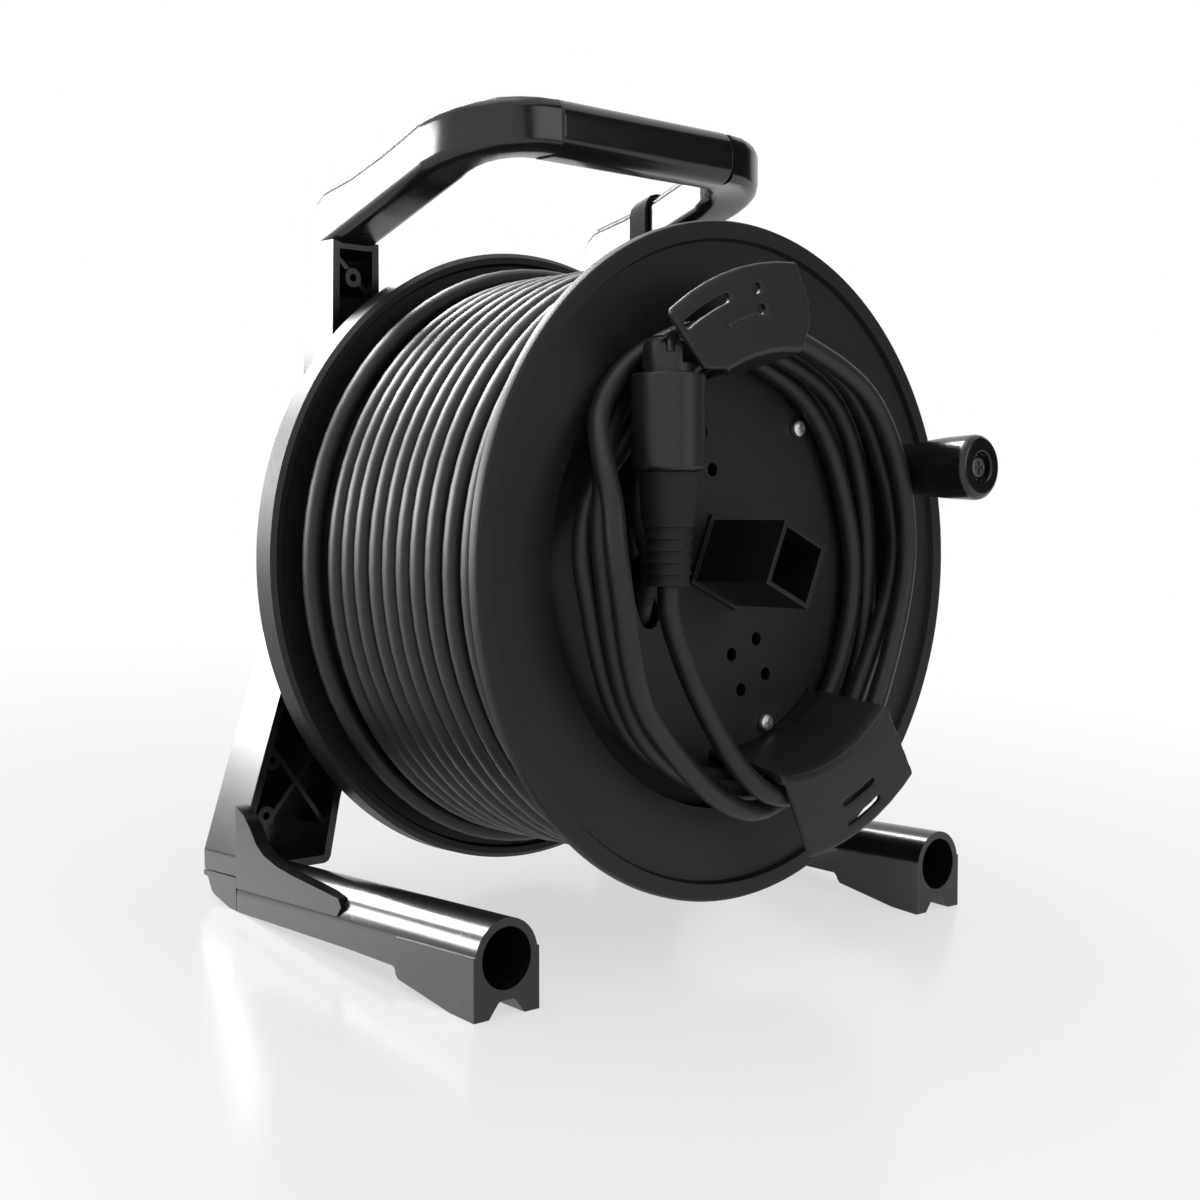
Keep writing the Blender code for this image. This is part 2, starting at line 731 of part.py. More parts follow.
def make_bush(name, tube_start, tube_end, flange_start, flange_end):
    bore = AXLE_R + RUNNING
    if flange_start < tube_start:
        profile = [(bore, tube_end), (BUSH_R, tube_end), (BUSH_R, flange_end),
                   (BUSH_FLANGE_R, flange_end), (BUSH_FLANGE_R, flange_start), (bore, flange_start)]
    else:
        profile = [(bore, flange_end), (BUSH_FLANGE_R, flange_end), (BUSH_FLANGE_R, flange_start),
                   (BUSH_R, flange_start), (BUSH_R, tube_start), (bore, tube_start)]
    return give_material(turned(name, profile, steps=20), "brass")


def make_panel():
    radius = DISH_R - GAP
    outlines = [circle(radius, count=TURN_STEPS), circle(AXLE_R + 2 * RUNNING)]
    for side in (-90, 90):
        for down in (-0.5, 0.5):
            for along in (-0.5, 0.5):
                x = HOLE_SPACING * along
                z = (HOLE_CIRCLE + HOLE_SPACING * down) * (1 if side > 0 else -1)
                outlines.append(circle(HOLE_R, (x, z), count=10))
    for place in SCREW_ANGLES:
        outlines.append(circle(SCREW_R + GAP, polar(SCREW_CIRCLE, place), count=12))
    outlines.append(arc_slot(SLOT_CIRCLE, SLOT_W, SLOT_FROM, SLOT_TO))
    for low, high in ((LOWER_WALL[0], LOWER_WALL_FOOT), (UPPER_WALL[0], UPPER_WALL_FOOT)):
        margin = 0.5
        foot = SADDLE_FOOT_R - GAP
        outlines.append(arc(foot, low - margin, high + margin, 8)
                        + arc(foot + SADDLE_T + 2 * GAP + 0.3 * MM, high + margin, low - margin, 8))
    panel = flat_shape("floor_panel", outlines, Y_PANEL, Y_PANEL_BACK)
    return give_material(panel, "black_plastic")


def make_screws(name, seat, way):
    return [give_material(pan_head(f"{name}_{i + 1}", polar(SCREW_CIRCLE, a), seat, SCREW_HEAD_R,
                                   SCREW_HEAD_H, SCREW_R, SCREW_L, way), "bright_steel")
            for i, a in enumerate(SCREW_ANGLES)]


def make_square_post():
    half = POST_SIDE / 2
    base = Y_PANEL - GAP
    front = base - POST_L
    post = block("square_post", (POST_SIDE, POST_L, POST_SIDE), (0, (base + front) / 2, 0), 45)
    foot = block("post_foot", (POST_SIDE + 2 * POST_FOOT, POST_FOOT, POST_SIDE + 2 * POST_FOOT),
                 (0, base - POST_FOOT / 2, 0), 45)
    inside = 2 * (half - POST_WALL)
    hollow = block("post_hollow", (inside, POST_L, inside), (0, base - POST_BASE_T - POST_L / 2, 0), 45)
    bore = rod("post_bore", AXLE_R + 2 * RUNNING, base - POST_L, base + POST_BASE_T)
    fuse(post, foot)
    cut(post, hollow, bore)
    return give_material(post, "gloss_plastic")


def saddle_profile(reach):
    """The section of a cable saddle: a leaning wall from the ledge, and its lip."""
    front = SADDLE_FRONT
    base = Y_PANEL_BACK
    t = SADDLE_T
    lean = 10.0 * MM
    neck = 4.0 * MM
    return [(SADDLE_FOOT_R, base), (SADDLE_FOOT_R + t, base), (SADDLE_FOOT_R + t, base - lean),
            (SADDLE_NECK_R + t - 0.6 * MM, front + t + neck), (SADDLE_NECK_R + t + 1.4 * MM, front + t),
            (reach - 0.5 * MM, front + t), (reach, front + t - 0.5 * MM),
            (reach, front + 0.7 * MM), (reach - 0.9 * MM, front), (SADDLE_NECK_R + 1.8 * MM, front),
            (SADDLE_NECK_R + 0.3 * MM, front + 1.0 * MM), (SADDLE_NECK_R - 0.6 * MM, front + neck),
            (SADDLE_FOOT_R, base - lean)]


def sector(low, high, inner, outer):
    return arc(inner, low, high, 8) + arc(outer, high, low, 8)


def make_saddle(name, wall, foot_end, lip, slots, holes, crease=None):
    """A saddle cut from a turned section: the lip's outline and the wall's end angles."""
    saddle = turned(name, saddle_profile(SADDLE_LIP_R), steps=72)
    ring = [(r * MM, a, c * MM) for r, a, c in lip]
    corners = []
    for (r, a, c), (r2, a2, _) in zip(ring, ring[1:] + ring[:1]):
        corners.append((*polar(r, a), c))
        if abs(a2 - a) > 20:
            steps = 9
            bulge = 6 * MM if r > SADDLE_NECK_R + 20 * MM else -4 * MM
            corners += [(*polar(r + (r2 - r) * k / steps + bulge, a + (a2 - a) * k / steps), 0)
                        for k in range(1, steps)]
    lip_zone = flat_shape("lip_zone", [rounded(corners)], SADDLE_FRONT - 5 * MM,
                          SADDLE_FRONT + SADDLE_T + 3.5 * MM)
    wall_in = SADDLE_FOOT_R - 5 * MM
    wall_out = SADDLE_NECK_R + SADDLE_T + 1 * MM
    wall_zone = flat_shape("wall_zone", [sector(*wall, wall_in, wall_out)],
                           SADDLE_FRONT + 0.4 * MM, WALL_STEP_Y)
    foot_zone = flat_shape("foot_zone", [sector(wall[0], foot_end, wall_in, wall_out)],
                           SADDLE_FRONT + 1 * MM, Y_PANEL_BACK + 5 * MM)
    keep_inside(saddle, fuse(lip_zone, wall_zone, foot_zone))
    over = SADDLE_FRONT - 5 * MM
    under = SADDLE_FRONT + SADDLE_T + 1 * MM
    for radius, width, low, high in slots:
        cut(saddle, flat_shape("lip_slot", [arc_slot(radius, width, low, high)], over, under))
    for radius, place in holes:
        cut(saddle, rod("lip_hole", LIP_HOLE_R, over, under, at=polar(radius, place), sides=12))
    if crease:
        cut(saddle, flat_shape("crease", [arc_slot(CREASE_CIRCLE, CREASE_W, *crease)], over,
                               SADDLE_FRONT + CREASE_D))
    return give_material(saddle, "black_plastic")


def make_winding_core():
    outer = WINDING_R * cos(pi / LOOP_POINTS) - CABLE_R - GAP
    inner = BARREL_R + GAP
    front = Y_FACE_BACK + GAP
    step_r = DISH_R + WALL + GAP
    step_y = Y_LEDGE_BACK + GAP
    back = Y_REAR - GAP
    profile = [(inner, back), (outer, back), (outer, front), (step_r, front), (step_r, step_y),
               (inner, step_y)]
    core = turned("winding_core", profile, steps=40)
    floor = WINDING_R - TUCK_R - CABLE_D - 2 * GAP
    top = outer + 2 * MM
    length = TUCK_R + CABLE_D + 2 * MM
    for y, way in ((winding_y(0), -1), (winding_y(WINDING_TURNS), 1)):
        x, z = polar((floor + top) / 2, WINDING_START)
        off = way * (TUCK_R + CABLE_R + 1 * MM - length / 2)
        x -= off * sin(radians(WINDING_START))
        z += off * cos(radians(WINDING_START))
        cut(core, block("cable_pocket", (top - floor, CABLE_D + 4 * GAP, length), (x, y, z),
                        -WINDING_START))
    return give_material(core, "cable_jacket")


# Wound cable: one outer layer, whose ends are tucked down between the turns

def winding_y(turns):
    """The place of the cable's middle along the axis after so many turns from the front."""
    first = Y_FACE_BACK + GAP + CABLE_R + 0.4 * MM
    last = Y_REAR - GAP - CABLE_R - 0.4 * MM
    free = last - first - FRONT_TURN_SPACE - REAR_TURN_SPACE
    pitch = free / WINDING_TURNS
    y = first + pitch * turns
    y += FRONT_TURN_SPACE * ease((turns - 2.0) / 0.8)
    y += REAR_TURN_SPACE * ease((turns - (WINDING_TURNS - 1.6)) / 0.8)
    return y


def ease(t):
    t = max(0.0, min(1.0, t))
    return t * t * (3 - 2 * t)


def winding_points():
    points = []
    count = WINDING_TURNS * LOOP_POINTS
    for i in range(count + 1):
        turns = i / LOOP_POINTS
        rise = REAR_TURN_RISE * ease((turns - (WINDING_TURNS - 1.2)) / 0.3)
        rise *= 1 - ease((turns - (WINDING_TURNS - 0.3)) / 0.25)
        x, z = polar(WINDING_R + rise, WINDING_START + 360 * turns)
        points.append(Vector((x, winding_y(turns), z)))
    first = tuck(0, -1)
    last = tuck(WINDING_TURNS, 1)
    return list(reversed(first)) + points + last


def tuck(turns, way):
    """The bend that takes an end of the cable down between the turns, and its straight end."""
    angle = WINDING_START + 360 * turns
    y = winding_y(turns)
    out = Vector((cos(radians(angle)), 0, sin(radians(angle))))
    along = Vector((-sin(radians(angle)), 0, cos(radians(angle)))) * way
    middle = out * (WINDING_R - TUCK_R) + Vector((0, y, 0))
    bend = [middle + (out * cos(t) + along * sin(t)) * TUCK_R
            for t in (radians(22.5 * k) for k in range(1, 5))]
    return bend + [bend[-1] - out * CABLE_D * 0.5, bend[-1] - out * CABLE_D]


def least_gap(points, radius, reach):
    """The least gap between stretches of a tube that lie more than reach points apart."""
    best = 1.0
    for i in range(0, len(points)):
        for j in range(i + reach, len(points) - 1):
            d = segment_gap(points[i], points[j], points[j + 1])
            best = min(best, d)
    return best - 2 * radius


def segment_gap(point, a, b):
    span = b - a
    t = max(0.0, min(1.0, (point - a).dot(span) / max(span.length_squared, 1e-12)))
    return (a + span * t - point).length


# Stored cable: loops round the saddles, from the connector to the slot in the floor panel.
# Each knot is an angle in the reel's frame, a radius and a place along the axis.

LOOP_KNOTS = (
    (217, 52.5, -14.5), (240, 60.0, -16.0), (258, 72.0, -19.0), (275, 78.0, -19.9),
    (300, 78.6, -18.5), (360, 79.5, -9.6), (405, 78.5, -14.0), (450, 77.8, -17.6),
    (466, 79.5, -10.0), (478, 80.9, -2.5), (488, 80.9, 2.2), (500, 80.6, 2.0), (512, 79.0, -6.0),
    (526, 76.0, -16.0), (545, 74.3, -20.2), (580, 76.5, -17.0), (630, 78.2, -12.2),
    (720, 80.2, -1.6), (765, 79.0, -6.0), (810, 77.8, -10.0), (828, 78.0, -3.0), (840, 76.0, 3.0),
    (850, 73.4, 4.0), (862, 72.6, 3.9), (876, 75.0, -5.0), (900, 76.0, -12.6), (945, 77.6, -8.4),
    (990, 77.8, -4.4), (1035, 77.0, 1.0), (1080, 74.0, 4.0), (1125, 75.8, -1.0), (1170, 76.0, -2.6),
    (1185, 74.0, -3.0), (1199, 69.0, 1.0), (1212, 65.2, 4.0), (1226, 65.6, 3.9), (1242, 72.0, 1.5),
    (1260, 76.8, -4.8), (1305, 76.0, 0.0), (1350, 72.6, 3.9), (1395, 67.6, 4.0), (1440, 66.0, 4.0),
    (1490, 70.0, 4.0), (1530, 72.2, 4.0), (1546, 70.6, 4.0), (1560, 62.0, 4.0), (1576, 56.6, 4.0),
    (1596, 49.6, 3.4),
)
SETTLE_STEPS = 700
SETTLE_HOLD = 0.03
SETTLE_SPREAD = 0.3
FINE_STEPS = 3


def stored_points():
    """Points of the stored cable in the reel's frame, from the connector to the slot."""
    end = PLUG_SHELL_TOP - PLUG_SHELL_L - BUSHING_L
    knots = [Vector((PLUG_X, PLUG_Y, end - GAP)), Vector((PLUG_X, PLUG_Y, end - CABLE_D - GAP))]
    for angle, radius, y in LOOP_KNOTS:
        x, z = polar(radius * MM, angle)
        knots.append(Vector((x, y * MM, z)))
    last, way = slot_end(DRUM_TURN)
    knots += [last - way * CABLE_D * 2, last - way * CABLE_D, last]
    count = (round(LOOP_POINTS * LOOPS) + 12) * FINE_STEPS + 1
    route = settle(smooth(knots, count))[::FINE_STEPS]
    return [route[0], knots[1]] + route[1:-1] + [last - way * CABLE_D, route[-1]]


def slot_end(turn):
    """Where the stored cable ends in the panel's slot, and its way, turned by some degrees."""
    angle = SLOT_AT + turn
    x, z = polar(SLOT_CIRCLE, angle)
    along = Vector((-sin(radians(angle)), 0, cos(radians(angle))))
    way = along * cos(radians(SLOT_DIVE)) + Vector((0, sin(radians(SLOT_DIVE)), 0))
    return Vector((x, Y_PANEL + PANEL_T / 2, z)), way


def push_out(away, need):
    """How far to move points that lie away from something by less than they need."""
    return np.maximum(0, need - away)


def settle(points):
    """The route eased apart until it clears itself, the saddles, the connector and the drum."""
    route = np.array([tuple(p) for p in points])
    start = route.copy()
    count = len(route)
    clear = CABLE_R + GAP + 0.15 * MM
    far = np.abs(np.arange(count)[:, None] - np.arange(count)[None, :]) > 6 * FINE_STEPS
    held = np.zeros(count, bool)
    held[:2 * FINE_STEPS] = True
    held[-3 * FINE_STEPS:] = True
    shell_low = PLUG_SHELL_TOP - PLUG_SHELL_L
    cylinders = ((PLUG_SHELL_R, shell_low, PLUG_SHELL_TOP),
                 (INSERT_R, PLUG_SHELL_TOP, PLUG_SHELL_TOP + INSERT_OUT + 2 * MM),
                 (BUSHING_R + 0.3 * MM, shell_low - BUSHING_L, shell_low))
    walls = ((LOWER_WALL[0] + DRUM_TURN, LOWER_WALL[1] + DRUM_TURN, LOWER_WALL_FOOT + DRUM_TURN),
             (UPPER_WALL[0] + DRUM_TURN, UPPER_WALL[1] + DRUM_TURN, UPPER_WALL_FOOT + DRUM_TURN))
    for step in range(SETTLE_STEPS):
        shift = start - route
        move = shift * SETTLE_HOLD * max(0, 1 - 1.3 * step / SETTLE_STEPS)
        move[1:-1] += (2 * shift[1:-1] - shift[:-2] - shift[2:]) * SETTLE_SPREAD
        apart = route[:, None, :] - route[None, :, :]
        length = np.linalg.norm(apart, axis=2) + 1e-9
        radial = np.abs(np.hypot(route[:, 0], route[:, 2])[:, None]
                        - np.hypot(route[:, 0], route[:, 2])[None, :]) / length
        push = push_out(length, CABLE_D + TURN_GAP + 0.45 * MM + 0.5 * MM * radial) * far
        move += (apart / length[:, :, None] * push[:, :, None]).sum(axis=1) * 0.3
        route[~held] += move[~held]
        keep_clear(route, clear, cylinders, walls, held)
    return [Vector(p) for p in route]


def keep_clear(route, clear, cylinders, walls, held):
    """Moves the route's free points off the drum's floor, the saddles and the connector."""
    for radius, low, high in cylinders:
        dx = route[:, 0] - PLUG_X
        dy = route[:, 1] - PLUG_Y
        rho = np.hypot(dx, dy) + 1e-9
        over = np.maximum(0, np.maximum(low - route[:, 2], route[:, 2] - high))
        side = np.maximum(0, rho - radius)
        short = push_out(np.hypot(over, side), clear + 0.6 * MM) * (over < clear) * ~held
        route[:, 0] += dx / rho * short * 0.5
        route[:, 1] += dy / rho * short * 0.5
        behind = short > 0
        route[behind, 1] += short[behind] * 0.5
    crank_x, crank_z = polar(CRANK_CIRCLE, DRUM_TURN)
    dx = route[:, 0] - crank_x
    dz = route[:, 2] - crank_z
    rho = np.hypot(dx, dz) + 1e-9
    grip_r = GRIP_BASE_R + (GRIP_END_R - GRIP_BASE_R) * np.clip(-route[:, 1] / (24 * MM), 0, 1)
    short = push_out(rho, grip_r + clear + 0.5 * MM) * ~held
    route[:, 0] += dx / rho * short
    route[:, 2] += dz / rho * short
    r = np.hypot(route[:, 0], route[:, 2])
    angle = np.degrees(np.arctan2(route[:, 2], route[:, 0]))
    for low, high, foot in walls:
        end = np.where(route[:, 1] > WALL_STEP_Y, foot, high)
        for shift in (0, -360, 360):
            here = angle + shift
            beyond = np.maximum(0, np.maximum(low - here, here - end))
            off = np.radians(beyond) * r
            lean = np.clip((Y_PANEL_BACK - 10 * MM - route[:, 1]) / (30 * MM), 0, 1)
            outer = SADDLE_FOOT_R + SADDLE_T + lean * (SADDLE_NECK_R - SADDLE_FOOT_R + 1.4 * MM)
            want = outer + 1.0 * MM + np.sqrt(np.maximum(0, clear ** 2 - off ** 2))
            short = np.maximum(0, want - r) * (off < clear) * (r > outer - SADDLE_T) * ~held
            for axis in (0, 2):
                route[:, axis] += route[:, axis] / r * short
            r = np.hypot(route[:, 0], route[:, 2])
    floor = np.where(r < DISH_R - clear + 0.2 * MM, Y_PANEL - clear, Y_FACE - clear)
    free = ~held
    free[-4 * FINE_STEPS:] = False
    route[free, 1] = np.minimum(route[free, 1], floor[free])
    wide = (route[:, 1] > Y_FACE - clear) & (r > DISH_R - clear) & free
    for axis in (0, 2):
        route[wide, axis] *= (DISH_R - clear) / r[wide]
    lip = (r > SADDLE_NECK_R - 6 * MM) & free
    route[lip, 1] = np.maximum(route[lip, 1], SADDLE_FRONT + SADDLE_T + clear)


def make_stored_cable():
    points = stored_points()
    print("stored cable gap to itself", round(1000 * least_gap(points, CABLE_R, 6), 2), "mm,",
          "length", round(1000 * sum((b - a).length for a, b in zip(points, points[1:]))), "mm")
    return give_material(tube("stored_cable", points, CABLE_R), "cable_jacket")


def make_wound_cable():
    points = winding_points()
    print("wound cable gap to itself", round(1000 * least_gap(points, CABLE_R, 6), 2), "mm,",
          "length", round(1000 * sum((b - a).length for a, b in zip(points, points[1:]))), "mm")
    return give_material(tube("wound_cable", points, CABLE_R), "cable_jacket")


def make_inner_cable():
    """The cable behind the slot, turned out through the barrel to the winding."""
    end, way = slot_end(0)
    out = Vector((cos(radians(INNER_CABLE_ANGLE)), 0, sin(radians(INNER_CABLE_ANGLE))))
    level = Vector((0, INNER_CABLE_Y, 0))
    knots = [end + way * GAP, end + way * (GAP + CABLE_D)]
    for radius, angle, y in ((37.5, 187, 22.0), (42.0, 185, 31.0)):
        x, z = polar(radius * MM, angle)
        knots.append(Vector((x, y * MM, z)))
    knots += [out * (BARREL_R - 17 * MM) + level, out * (BARREL_R - CABLE_D) + level,
              out * BARREL_R + level]
    route = [knots[0]] + smooth(knots[1:-1], 12) + [knots[-1]]
    return give_material(tube("inner_cable", route, CABLE_R), "cable_jacket")


# Connector: turned pieces about its own upright axis

def upright(name, profile, steps=24):
    piece = turned(name, profile, steps)
    piece.rotation_euler = (0, 0, 0)
    piece.location = (PLUG_X, PLUG_Y, 0)
    return piece


def upright_solid(name, profile, steps=24):
    piece = turned_solid(name, profile, steps)
    piece.rotation_euler = (0, 0, 0)
    piece.location = (PLUG_X, PLUG_Y, 0)
    return piece


def make_connector():
    top = PLUG_SHELL_TOP
    low = top - PLUG_SHELL_L
    bore = PLUG_SHELL_R - PLUG_WALL
    neck_top = low + 8 * MM
    shell = upright("connector_shell", [
        (bore, top), (PLUG_SHELL_R - 0.5 * MM, top), (PLUG_SHELL_R, top - 0.5 * MM),
        (PLUG_SHELL_R, low + 1 * MM), (PLUG_SHELL_R - 1 * MM, low), (bore, low)])
    give_material(shell, "black_plastic")
    end = low - BUSHING_L
    profile = [(0, neck_top), (bore - GAP, neck_top), (bore - GAP, low - GAP),
               (PLUG_GROOVE_R, low - GAP), (PLUG_GROOVE_R, low - PLUG_GROOVE_L),
               (BUSHING_R + 0.3 * MM, low - PLUG_GROOVE_L)]
    slim = (BUSHING_R - BUSHING_END_R) / (BUSHING_L - PLUG_GROOVE_L)
    for i in range(BUSHING_RIBS):
        z = end + (BUSHING_RIBS - i) * BUSHING_RIB_PITCH
        r = BUSHING_END_R + (z - end) * slim
        profile += [(r, z), (r - BUSHING_RIB_D, z - 0.3 * MM),
                    (r - BUSHING_RIB_D, z - BUSHING_RIB_PITCH * 0.45)]
    profile += [(BUSHING_END_R, end), (0, end)]
    bushing = upright_solid("connector_bushing", profile, steps=20)
    give_material(bushing, "soft_grip")
    nose = top + INSERT_OUT
    body = bore - GAP
    insert = upright_solid("connector_insert", [
        (0, nose), (INSERT_R - 2.0 * MM, nose), (INSERT_R - 0.5 * MM, nose - 0.9 * MM),
        (INSERT_R, nose - 2.6 * MM), (INSERT_R, top + 0.6 * MM), (body, top - 1 * MM),
        (body, neck_top + GAP), (0, neck_top + GAP)])
    mouth = block("insert_mouth", (INSERT_W, INSERT_D, 22 * MM),
                  (PLUG_X, PLUG_Y + 0.6 * MM, nose - 4 * MM))
    window = block("insert_window", (INSERT_W * 0.62, INSERT_R * 2, 4.6 * MM),
                   (PLUG_X + 1.8 * MM, PLUG_Y - INSERT_R, nose - 5.4 * MM))
    pocket = block("latch_slot", (4.6 * MM, 2.2 * MM, 7 * MM),
                   (PLUG_X - 4.0 * MM, PLUG_Y - 6.0 * MM, nose - 1.0 * MM))
    cut(insert, mouth, window, pocket)
    give_material(insert, "black_plastic")
    latch = block("connector_latch", (LATCH_L, LATCH_W, LATCH_T),
                  (PLUG_X - 3.6 * MM, PLUG_Y - 5.2 * MM, nose + LATCH_RISE), -LATCH_SLOPE)
    stem = block("latch_stem", (4.0 * MM, 1.6 * MM, 7 * MM),
                 (PLUG_X - 4.0 * MM, PLUG_Y - 6.0 * MM, nose + LATCH_RISE - 3.6 * MM))
    fuse(latch, stem)
    give_material(latch, "black_plastic")
    return [shell, bushing, insert, latch]


# Crank: the spindle is fixed to the drum, the grip turns on it

def make_spindle():
    collar = Y_FACE - GAP
    hole = CRANK_SCREW_R + GAP
    tip = SPINDLE_TIP
    profile = [(0, Y_FACE_BACK), (SPINDLE_TAIL_R, Y_FACE_BACK), (SPINDLE_TAIL_R, collar),
               (SPINDLE_COLLAR_R, collar), (SPINDLE_COLLAR_R, collar - SPINDLE_COLLAR_T),
               (SPINDLE_R, collar - SPINDLE_COLLAR_T), (SPINDLE_R, tip), (hole, tip),
               (hole, tip + CRANK_SCREW_L), (0, tip + CRANK_SCREW_L)]
    spindle = turned_solid("crank_spindle", profile, steps=20)
    spindle.location = (CRANK_CIRCLE, 0, 0)
    return give_material(spindle, "bright_steel")


def make_grip():
    base = Y_FACE - GAP - SPINDLE_COLLAR_T - GAP
    end = base - GRIP_L
    seat = SPINDLE_TIP
    bore = SPINDLE_R + RUNNING
    profile = [(bore, base), (GRIP_BASE_R - 0.8 * MM, base), (GRIP_BASE_R, base - 0.8 * MM),
               (GRIP_BASE_R + 0.7 * MM, base - 8 * MM), (GRIP_END_R - 0.6 * MM, base - 24 * MM),
               (GRIP_END_R, end + GRIP_ROUND),
               (GRIP_END_R - GRIP_ROUND * 0.13, end + GRIP_ROUND * 0.5),
               (GRIP_END_R - GRIP_ROUND * 0.5, end + GRIP_ROUND * 0.13),
               (GRIP_END_R - GRIP_ROUND, end), (GRIP_RECESS_R + 0.4 * MM, end),
               (GRIP_RECESS_R, end + 0.4 * MM), (GRIP_RECESS_R, seat), (bore, seat)]
    return give_material(turned("crank_grip", profile, steps=36), "black_plastic")


def make_crank_washer():
    near = SPINDLE_TIP - GAP
    bore = CRANK_SCREW_R + GAP
    washer = turned("crank_washer", [(bore, near), (CRANK_WASHER_R, near),
                                     (CRANK_WASHER_R, near - CRANK_WASHER_T),
                                     (bore, near - CRANK_WASHER_T)], steps=20)
    washer.location = (CRANK_CIRCLE, 0, 0)
    return give_material(washer, "bright_steel")


def make_crank_screw():
    seat = SPINDLE_TIP - CRANK_WASHER_T - 2 * GAP
    screw = turned_solid("crank_screw", [
        (0, seat + CRANK_SCREW_L - GAP), (CRANK_SCREW_R, seat + CRANK_SCREW_L - GAP),
        (CRANK_SCREW_R, seat), (CRANK_HEAD_R, seat), (CRANK_HEAD_R, seat - CRANK_HEAD_H * 0.5),
        (CRANK_HEAD_R * 0.8, seat - CRANK_HEAD_H), (0, seat - CRANK_HEAD_H)], steps=20)
    screw.location = (CRANK_CIRCLE, 0, 0)
    slot = block("driver_slot", (1.1 * MM, 2.4 * MM, CRANK_HEAD_R * 1.1),
                 (CRANK_CIRCLE, seat - CRANK_HEAD_H, 0), 20)
    across = block("driver_slot", (CRANK_HEAD_R * 1.1, 2.4 * MM, 1.1 * MM),
                   (CRANK_CIRCLE, seat - CRANK_HEAD_H, 0), 20)
    cut(screw, slot, across)
    return give_material(screw, "bright_steel")


# Axle and its fixings, fixed to the standing frame

def make_axle():
    front = AXLE_FRONT
    back = Y_NUT_END + GAP / 2
    collar_front = Y_REAR_FACE + BUSH_FLANGE_T + 2 * GAP
    hole = AXLE_SCREW_R + GAP
    depth = front + AXLE_SCREW_L + GAP
    profile = [(0, back), (AXLE_R - 0.6 * MM, back), (AXLE_R, back - 0.6 * MM), (AXLE_R, Y_FRAME - GAP),
               (AXLE_COLLAR_R, Y_FRAME - GAP), (AXLE_COLLAR_R, collar_front), (AXLE_R, collar_front),
               (AXLE_R, front), (hole, front), (hole, depth), (0, depth)]
    return give_material(turned_solid("axle", profile, steps=20), "bright_steel")


def make_washer(name, radius, bore, start, end):
    washer = turned(name, [(bore, end), (radius, end), (radius, start), (bore, start)], steps=20)
    return give_material(washer, "bright_steel")


def make_axle_screw():
    seat = AXLE_FRONT - WASHER_T - 2 * GAP
    screw = turned_solid("axle_screw", [
        (0, seat + AXLE_SCREW_L), (AXLE_SCREW_R, seat + AXLE_SCREW_L), (AXLE_SCREW_R, seat),
        (AXLE_HEAD_R, seat), (AXLE_HEAD_R, seat - AXLE_HEAD_H * 0.6),
        (AXLE_HEAD_R * 0.8, seat - AXLE_HEAD_H), (0, seat - AXLE_HEAD_H)], steps=24)
    cut(screw, block("driver_slot", (1.2 * MM, 2.6 * MM, AXLE_HEAD_R), (0, seat - AXLE_HEAD_H, 0), 30),
        block("driver_slot", (AXLE_HEAD_R, 2.6 * MM, 1.2 * MM), (0, seat - AXLE_HEAD_H, 0), 30))
    return give_material(screw, "bright_steel")


def make_axle_nut():
    nut = rod("axle_nut", NUT_R, Y_NUT, Y_NUT_END, sides=6)
    cut(nut, rod("nut_bore", AXLE_R + GAP, Y_NUT - WASHER_T, Y_NUT_END + WASHER_T))
    return give_material(nut, "bright_steel")


# Standing frame

def frame_outline():
    half = [(0, 34, 0), (24, 36, 30), (50, 50, 22), (58, 66, 10), (58, 117.5, 0), (78.5, 117.5, 0),
            (80, 22, 20), (121.7, -105, 4), (121.7, -112, 0), (82, -112, 3), (77, -88, 30),
            (68, -62, 30), (40, -42, 30), (20, -35, 20), (0, -34, 0)]
    right = [(x * MM, z * MM, r * MM) for x, z, r in half[1:-1]]
    left = [(-x, z, r) for x, z, r in reversed(right)]
    return rounded([(0, 34 * MM, 0)] + right + [(0, -34 * MM, 0)] + left, steps=4, small=4 * MM)


def depth_profile(back_gap, front):
    """The frame seen from the side, with its back moved forwards by back_gap."""
    back = Y_FRAME_BACK - back_gap
    upper = back - POST_THINNER
    return [(front, -150 * MM), (back, -150 * MM), (back, LEG_KNEE_Z), (upper, POST_TOP),
            (upper, 180 * MM), (front, 180 * MM)]


def arm_heights(y):
    low = POST_TOP - 1 * MM + (Y_FRAME - y) * ARM_SLOPE
    for (y0, z0), (y1, z1) in zip(ARM_TOP, ARM_TOP[1:]):
        if y0 >= y >= y1:
            return low, z0 + (z1 - z0) * (y0 - y) / (y0 - y1)
    return low, ARM_TOP[-1][1]


def arm_path():
    """Middle line of one arm in plan with its lower and upper heights, from the back to the bar."""
    rows = []
    for y in (143.4, 142.2, 140.0, 136.0, 118.5, 100.0, 85.0):
        low, high = arm_heights(y * MM)
        rows.append((ARM_X, y * MM, 0.0, low, high))
    bend = ARM_X - GRIP_HALF - GAP
    start_y = BAR_Y + bend
    low, high = arm_heights(start_y)
    steps = 7
    for k in range(steps + 1):
        turn = 90 * k / steps
        t = k / steps
        x = ARM_X - bend + bend * cos(radians(turn))
        y = start_y - bend * sin(radians(turn))
        soft = 1 - (1 - t) ** 2
        rows.append((x, y, turn, low + (BAR_BOTTOM - low) * soft,
                     high + (BAR_BOTTOM + BAR_H - high) * soft))
    return rows


